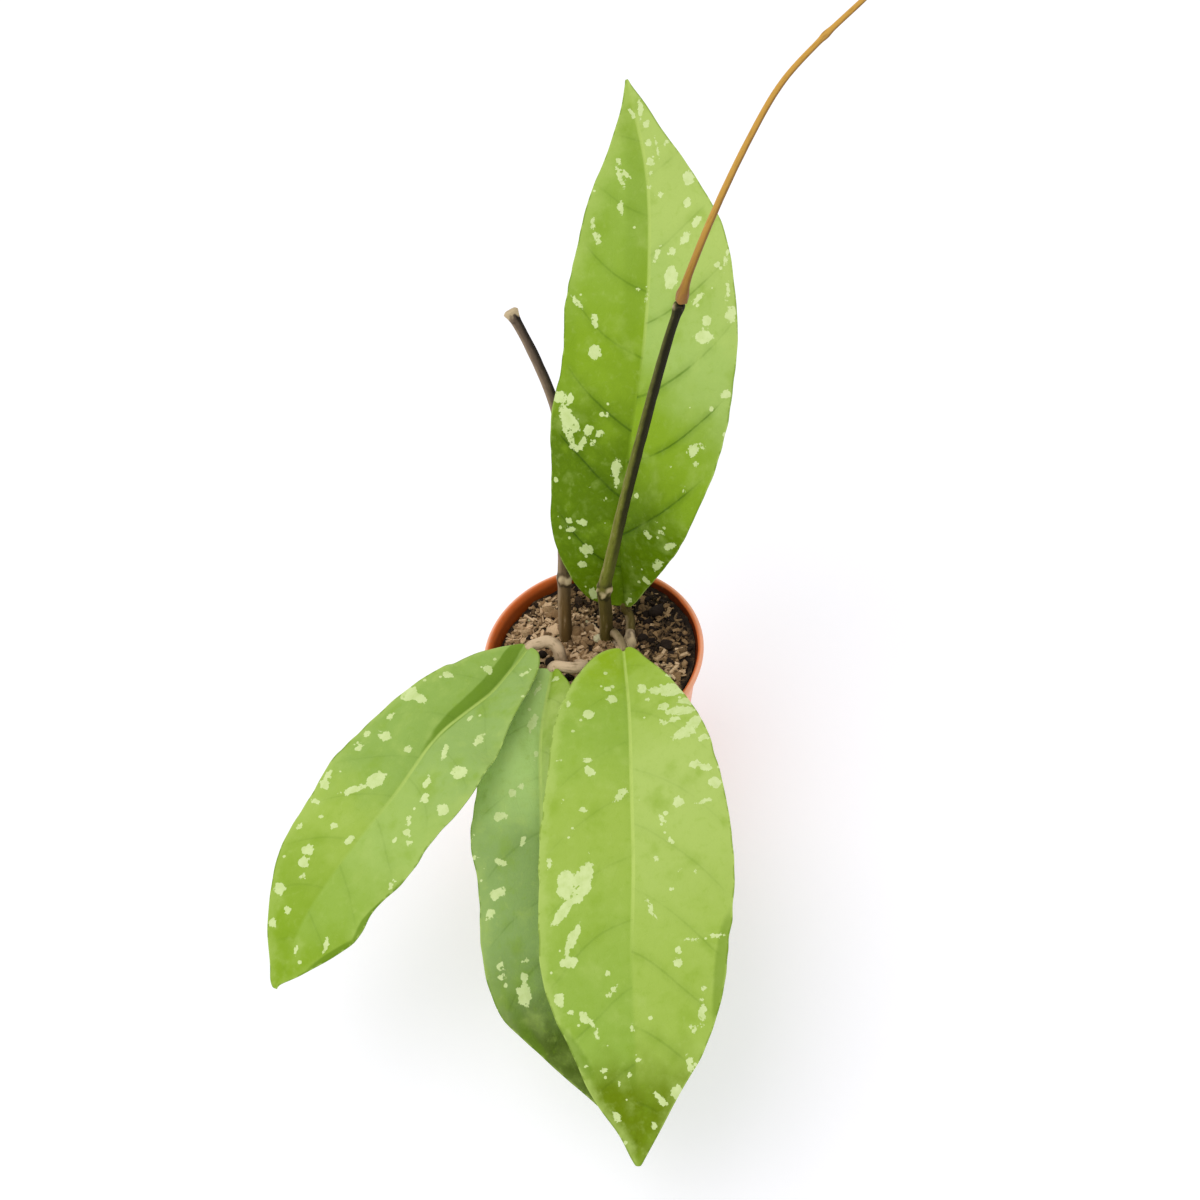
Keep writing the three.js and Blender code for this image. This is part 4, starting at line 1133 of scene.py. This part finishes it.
class CLIMBER_OT_pot(Operator):
    """Makes the thin plastic nursery pot"""
    bl_idname = "climber.make_pot"
    bl_label = "Make Pot"

    SPIN_STEPS = 144
    LEVELS = (8, 20, 34, 48, 60, 68)

    def execute(self, context):
        pot = context.scene.climber_pot
        bm = bmesh.new()
        spun(bm, self.profile(pot), self.SPIN_STEPS)
        wall_layer = bm.verts.layers.float_vector.new("wall")
        lip_middle = mm(pot.rim_radius - pot.lip_radius)
        for vert in bm.verts:
            radius = math.hypot(vert.co.x, vert.co.y)
            middle = min(wall_radius(pot, vert.co.z) - mm(pot.wall) / 2, lip_middle)
            if vert.co.z > mm(pot.height) - 2 * mm(pot.lip_radius):
                middle = lip_middle
            inside = smooth(middle - radius, -0.4, 0.6)
            vert[wall_layer] = Vector((inside, mm(pot.height) - vert.co.z, 0))
        piece = finish_piece(bm, "nursery_pot", pot_paint("pot_paint", pot), "pot_plastic", "pot")
        self.drill(context, piece, pot)
        return {"FINISHED"}

    def profile(self, pot):
        height, lip = mm(pot.height), mm(pot.lip_radius)
        band_foot = mm(pot.height - pot.band_height)
        band = mm(pot.rim_radius - pot.band_inset)
        shoulder = wall_radius(pot, band_foot)
        floor, base = mm(pot.floor), mm(pot.base_radius)
        lip_centre = mm(pot.rim_radius) - lip
        taper = [(wall_radius(pot, z), z) for z in self.LEVELS]
        inner = [(inner_radius(pot, z), z) for z in reversed(self.LEVELS)]
        return [
            (0, 0.6), (base - 4, 0.6), (base - 3, 0),
            *arc(base - 1, 1, 1, -90, 0, 4),
            *taper,
            (shoulder, band_foot - BAND_SLOPE),
            (shoulder + 0.4, band_foot - 0.4),
            (band - 0.5, band_foot - 0.1), (band, band_foot + 0.4),
            (band, height - 2.6),
            *arc(lip_centre, height - lip, lip, -30, 170, 12),
            (inner_radius(pot, band_foot - BAND_SLOPE), band_foot - BAND_SLOPE),
            *inner,
            (inner_radius(pot, floor), floor + 0.6),
            (inner_radius(pot, floor) - 0.8, floor),
            (0, floor),
        ]

    def drill(self, context, piece, pot):
        """Cuts the ring of drain holes through the floor."""
        bm = bmesh.new()
        for i in range(pot.drains):
            angle = 2 * math.pi * i / pot.drains
            place = Vector((math.cos(angle), math.sin(angle), 0)) * pot.drain_ring
            bmesh.ops.create_cone(bm, cap_ends=True, segments=32, radius1=pot.drain_radius,
                                  radius2=pot.drain_radius, depth=pot.floor * 6,
                                  matrix=Matrix.Translation(place))
        mesh = bpy.data.meshes.new("drains")
        bm.to_mesh(mesh)
        bm.free()
        cutter = bpy.data.objects.new("drains", mesh)
        context.scene.collection.objects.link(cutter)
        cut = piece.modifiers.new("drains", "BOOLEAN")
        cut.object = cutter
        cut.operation = "DIFFERENCE"
        cut.solver = "EXACT"
        drilled = bpy.data.meshes.new_from_object(piece.evaluated_get(context.evaluated_depsgraph_get()))
        piece.modifiers.clear()
        piece.data = drilled
        bpy.data.objects.remove(cutter)


class CLIMBER_OT_soil(Operator):
    """Makes the loose bark soil in the pot"""
    bl_idname = "climber.make_soil"
    bl_label = "Make Soil"

    SPIN_STEPS = 120
    RINGS = 48
    GAP = 0.3
    # Pale stones: where they lie, their radius, their tone and how far they are grit.
    STONES = [(3.2, 10.5, 2.3, 0.75, 0.6), (0.6, 20.8, 1.3, 0.9, 1), (1.4, 15.1, 1.1, 0.9, 1)]
    # Dark lumps that paint shade into the hollows round the stalks and stems: where they lie and their
    # radius.
    SHADE_LUMP_TONE = -0.4
    SHADE_LUMPS = [(-18, 3.5, 2.6), (-16.5, -1, 2), (-20.5, 7.5, 2), (-25, 17.5, 1.8), (-11.6, -6.5, 2.2),
             (21, 4.5, 2.2), (12, 11, 1.6)]

    def execute(self, context):
        soil, pot = context.scene.climber_soil, context.scene.climber_pot
        draw = random.Random(soil.seed)
        # Vector noise starts from the clock unless it has a seed above 0.
        noise.seed_set(soil.seed + 1)
        bm = bmesh.new()
        layer = bm.verts.layers.float_vector.new("litter")
        self.make_bed(bm, layer, soil, pot)
        self.scatter(bm, layer, soil, pot, draw)
        finish_piece(bm, "bark_soil", soil_paint("soil_paint", soil), "soil_mix", "soil")
        return {"FINISHED"}

    def make_bed(self, bm, layer, soil, pot):
        foot = mm(pot.floor) + self.GAP
        top = mm(soil.top)
        edge_z = top - 1.5
        edge_r = inner_radius(pot, edge_z) - self.GAP
        foot_r = inner_radius(pot, foot) - self.GAP
        rings = [(edge_r * (1 - i / self.RINGS), top) for i in range(self.RINGS + 1)]
        spun(bm, [(0, foot), (foot_r, foot), (edge_r, edge_z), *rings], self.SPIN_STEPS)
        for vert in bm.verts:
            x, y, z = vert.co
            lump = 0.0
            if z > top - 0.1:
                lump = noise.fractal(Vector((x, y, 0)) / 2.6, 0.8, 2.1, 4)
                height = soil_height(soil, x, y) + 0.8 * lump - 0.5
                # The rim of the soil follows the wall, which widens upwards.
                outward = smooth(math.hypot(x, y) / edge_r, 0.8, 1)
                spread = lerp(1, (inner_radius(pot, height) - self.GAP) / edge_r, outward)
                vert.co = (x * spread, y * spread, height)
            vert[layer] = Vector((0.06 + 0.3 * lump, 0, 0.5))

    def scatter(self, bm, layer, soil, pot, draw):
        reach = inner_radius(pot, mm(soil.top)) - 2 * self.GAP

        def put(size, stretch, sunk, tone, ragged, grit=0, rounds=0, spot=None):
            """Lays down a round grain of that many subdivisions, or a box if there are none."""
            radius = (reach - size) * math.sqrt(draw.random())
            angle = 2 * math.pi * draw.random()
            x, y = spot or (radius * math.cos(angle), radius * math.sin(angle))
            turn = Euler((draw.uniform(-0.5, 0.5), draw.uniform(-0.5, 0.5), draw.uniform(0, 6.28)))
            z = soil_height(soil, x, y) + draw.uniform(-sunk, size * 0.5)
            place = Matrix.Translation((x, y, z)) @ turn.to_matrix().to_4x4()
            place = place @ Matrix.Diagonal((*stretch, 1))
            if rounds:
                made = bmesh.ops.create_icosphere(bm, subdivisions=rounds, radius=size, matrix=place)
            else:
                made = bmesh.ops.create_cube(bm, size=1, matrix=place)
            chance = draw.random()
            # Dry tan chips lie to the left, and the crumbs to the right and the back are darker, partly damp
            # and partly painted shade.
            damp_and_shade = smooth(0.8 * x + 0.5 * y + 6 * draw.uniform(-1, 1), 4, 22) * smooth(y, -26, 10)
            raised = (z - soil_height(soil, x, y)) / 1.5
            level = tone + 0.05 - 0.5 * damp_and_shade + 0.25 * raised + draw.uniform(-0.3, 0.3)
            for vert in made["verts"]:
                vert.co += noise.noise_vector(vert.co * 1.1 / max(size, 0.6)) * size * ragged
                vert[layer] = Vector((level, grit, chance))

        for _ in range(soil.lumps):
            size = draw.uniform(1.8, 3.4)
            stretch = (1, draw.uniform(0.6, 0.9), 0.6)
            put(size, stretch, sunk=1.6, tone=0.42, ragged=0.5, rounds=2)
        for _ in range(soil.crumbs):
            size = draw.uniform(0.5, 1.3)
            stretch = (draw.uniform(1, 1.7), 1, 0.7)
            put(size, stretch, sunk=0.6, tone=0.45, ragged=0.6, rounds=1)
        for _ in range(soil.shreds):
            size = draw.uniform(0.8, 2.3)
            thin = size * draw.uniform(0.3, 0.55)
            put(size, (2 * size, thin * 1.4, thin * 0.7), sunk=0.7, tone=0.7, ragged=0.2)
        for _ in range(soil.grains):
            size = draw.uniform(0.5, 1.1)
            put(size, (1, 0.85, 0.75), sunk=0.3, tone=0.6, ragged=0.3, grit=1, rounds=2)
        # The dark lumps are painted shade.
        moist = [(x, y, size, self.SHADE_LUMP_TONE, 0) for x, y, size in self.SHADE_LUMPS]
        for x, y, size, tone, grit in (*self.STONES, *moist):
            put(size, (1, 0.9, 0.8), sunk=0, tone=tone, ragged=0.15, grit=grit, rounds=3, spot=(x, y))


class CLIMBER_OT_stems(Operator):
    """Makes the two woody stems with their leaf stalks"""
    bl_idname = "climber.make_stems"
    bl_label = "Make Stems"

    SIDES = 28
    STEM_STEPS, STALK_STEPS, SHOULDER_STEPS = 240, 60, 40

    def execute(self, context):
        self.make(context, "right", RIGHT_STEM, ["leaf_rear", "leaf_front"], [SHOULDER])
        self.make(context, "left", LEFT_STEM, ["leaf_left", "leaf_middle"], [])
        return {"FINISHED"}

    def make(self, context, side, stem, leaves, extras):
        colours = context.scene.climber_stems
        tones = [getattr(colours, side + part) for part in ("_foot", "_bark", "_top")]
        bm = limb_mesh()
        tube(bm, stem, self.SIDES, self.STEM_STEPS, 1)
        for seed, leaf_name in enumerate(leaves, 2):
            tube(bm, stalk_of(LEAVES[leaf_name]), self.SIDES, self.STALK_STEPS, seed)
        for seed, limb in enumerate(extras, 6):
            tube(bm, limb, self.SIDES, self.SHOULDER_STEPS, seed)
        material = bark_paint(side + "_bark_paint", colours, *tones)
        finish_piece(bm, side + "_woody_stem", material, "stem_bark", "stem_" + side)


class CLIMBER_OT_vine(Operator):
    """Makes the young vine at the right stem's top"""
    bl_idname = "climber.make_vine"
    bl_label = "Make Vine"

    SIDES = 20
    STEPS = 260

    def execute(self, context):
        colours = context.scene.climber_stems
        bm = limb_mesh()
        tube(bm, VINE, self.SIDES, self.STEPS, 9, roughness=0.03)
        material = vine_paint("vine_paint", colours)
        finish_piece(bm, "young_vine_shoot", material, "vine_skin", "young_vine")
        return {"FINISHED"}


class CLIMBER_OT_leaves(Operator):
    """Makes the four long leaves"""
    bl_idname = "climber.make_leaves"
    bl_label = "Make Leaves"

    def execute(self, context):
        sizes = context.scene.climber_leaves
        for seed, (name, leaf) in enumerate(LEAVES.items()):
            bm, leaf_length = blade(leaf, sizes, seed * 10)
            material = leaf_paint(name + "_paint", leaf, sizes, leaf_length)
            finish_piece(bm, name + "_blade", material, leaf["slot"], name)
        return {"FINISHED"}


OPERATORS = (CLIMBER_OT_stage, CLIMBER_OT_pot, CLIMBER_OT_soil, CLIMBER_OT_stems, CLIMBER_OT_vine,
             CLIMBER_OT_leaves)
SETTINGS = {
    "climber_studio": StudioSettings,
    "climber_pot": PotSettings,
    "climber_soil": SoilSettings,
    "climber_stems": StemSettings,
    "climber_leaves": LeafSettings,
}


class CLIMBER_PT_panel(Panel):
    """Lists the pieces of the plant"""
    bl_label = "Climber"
    bl_space_type = "VIEW_3D"
    bl_region_type = "UI"
    bl_category = "Climber"

    def draw(self, context):
        for operator in OPERATORS:
            self.layout.operator(operator.bl_idname)


def register():
    for group in SETTINGS.values():
        bpy.utils.register_class(group)
    for name, group in SETTINGS.items():
        setattr(bpy.types.Scene, name, PointerProperty(type=group))
    for item in (*OPERATORS, CLIMBER_PT_panel):
        bpy.utils.register_class(item)


def unregister():
    for item in reversed((*OPERATORS, CLIMBER_PT_panel)):
        bpy.utils.unregister_class(item)
    for name in SETTINGS:
        delattr(bpy.types.Scene, name)
    for group in reversed(SETTINGS.values()):
        bpy.utils.unregister_class(group)


def main():
    register()
    bpy.ops.climber.make_stage()
    bpy.ops.climber.make_pot()
    bpy.ops.climber.make_soil()
    bpy.ops.climber.make_stems()
    bpy.ops.climber.make_vine()
    bpy.ops.climber.make_leaves()


if __name__ == "__main__":
    main()
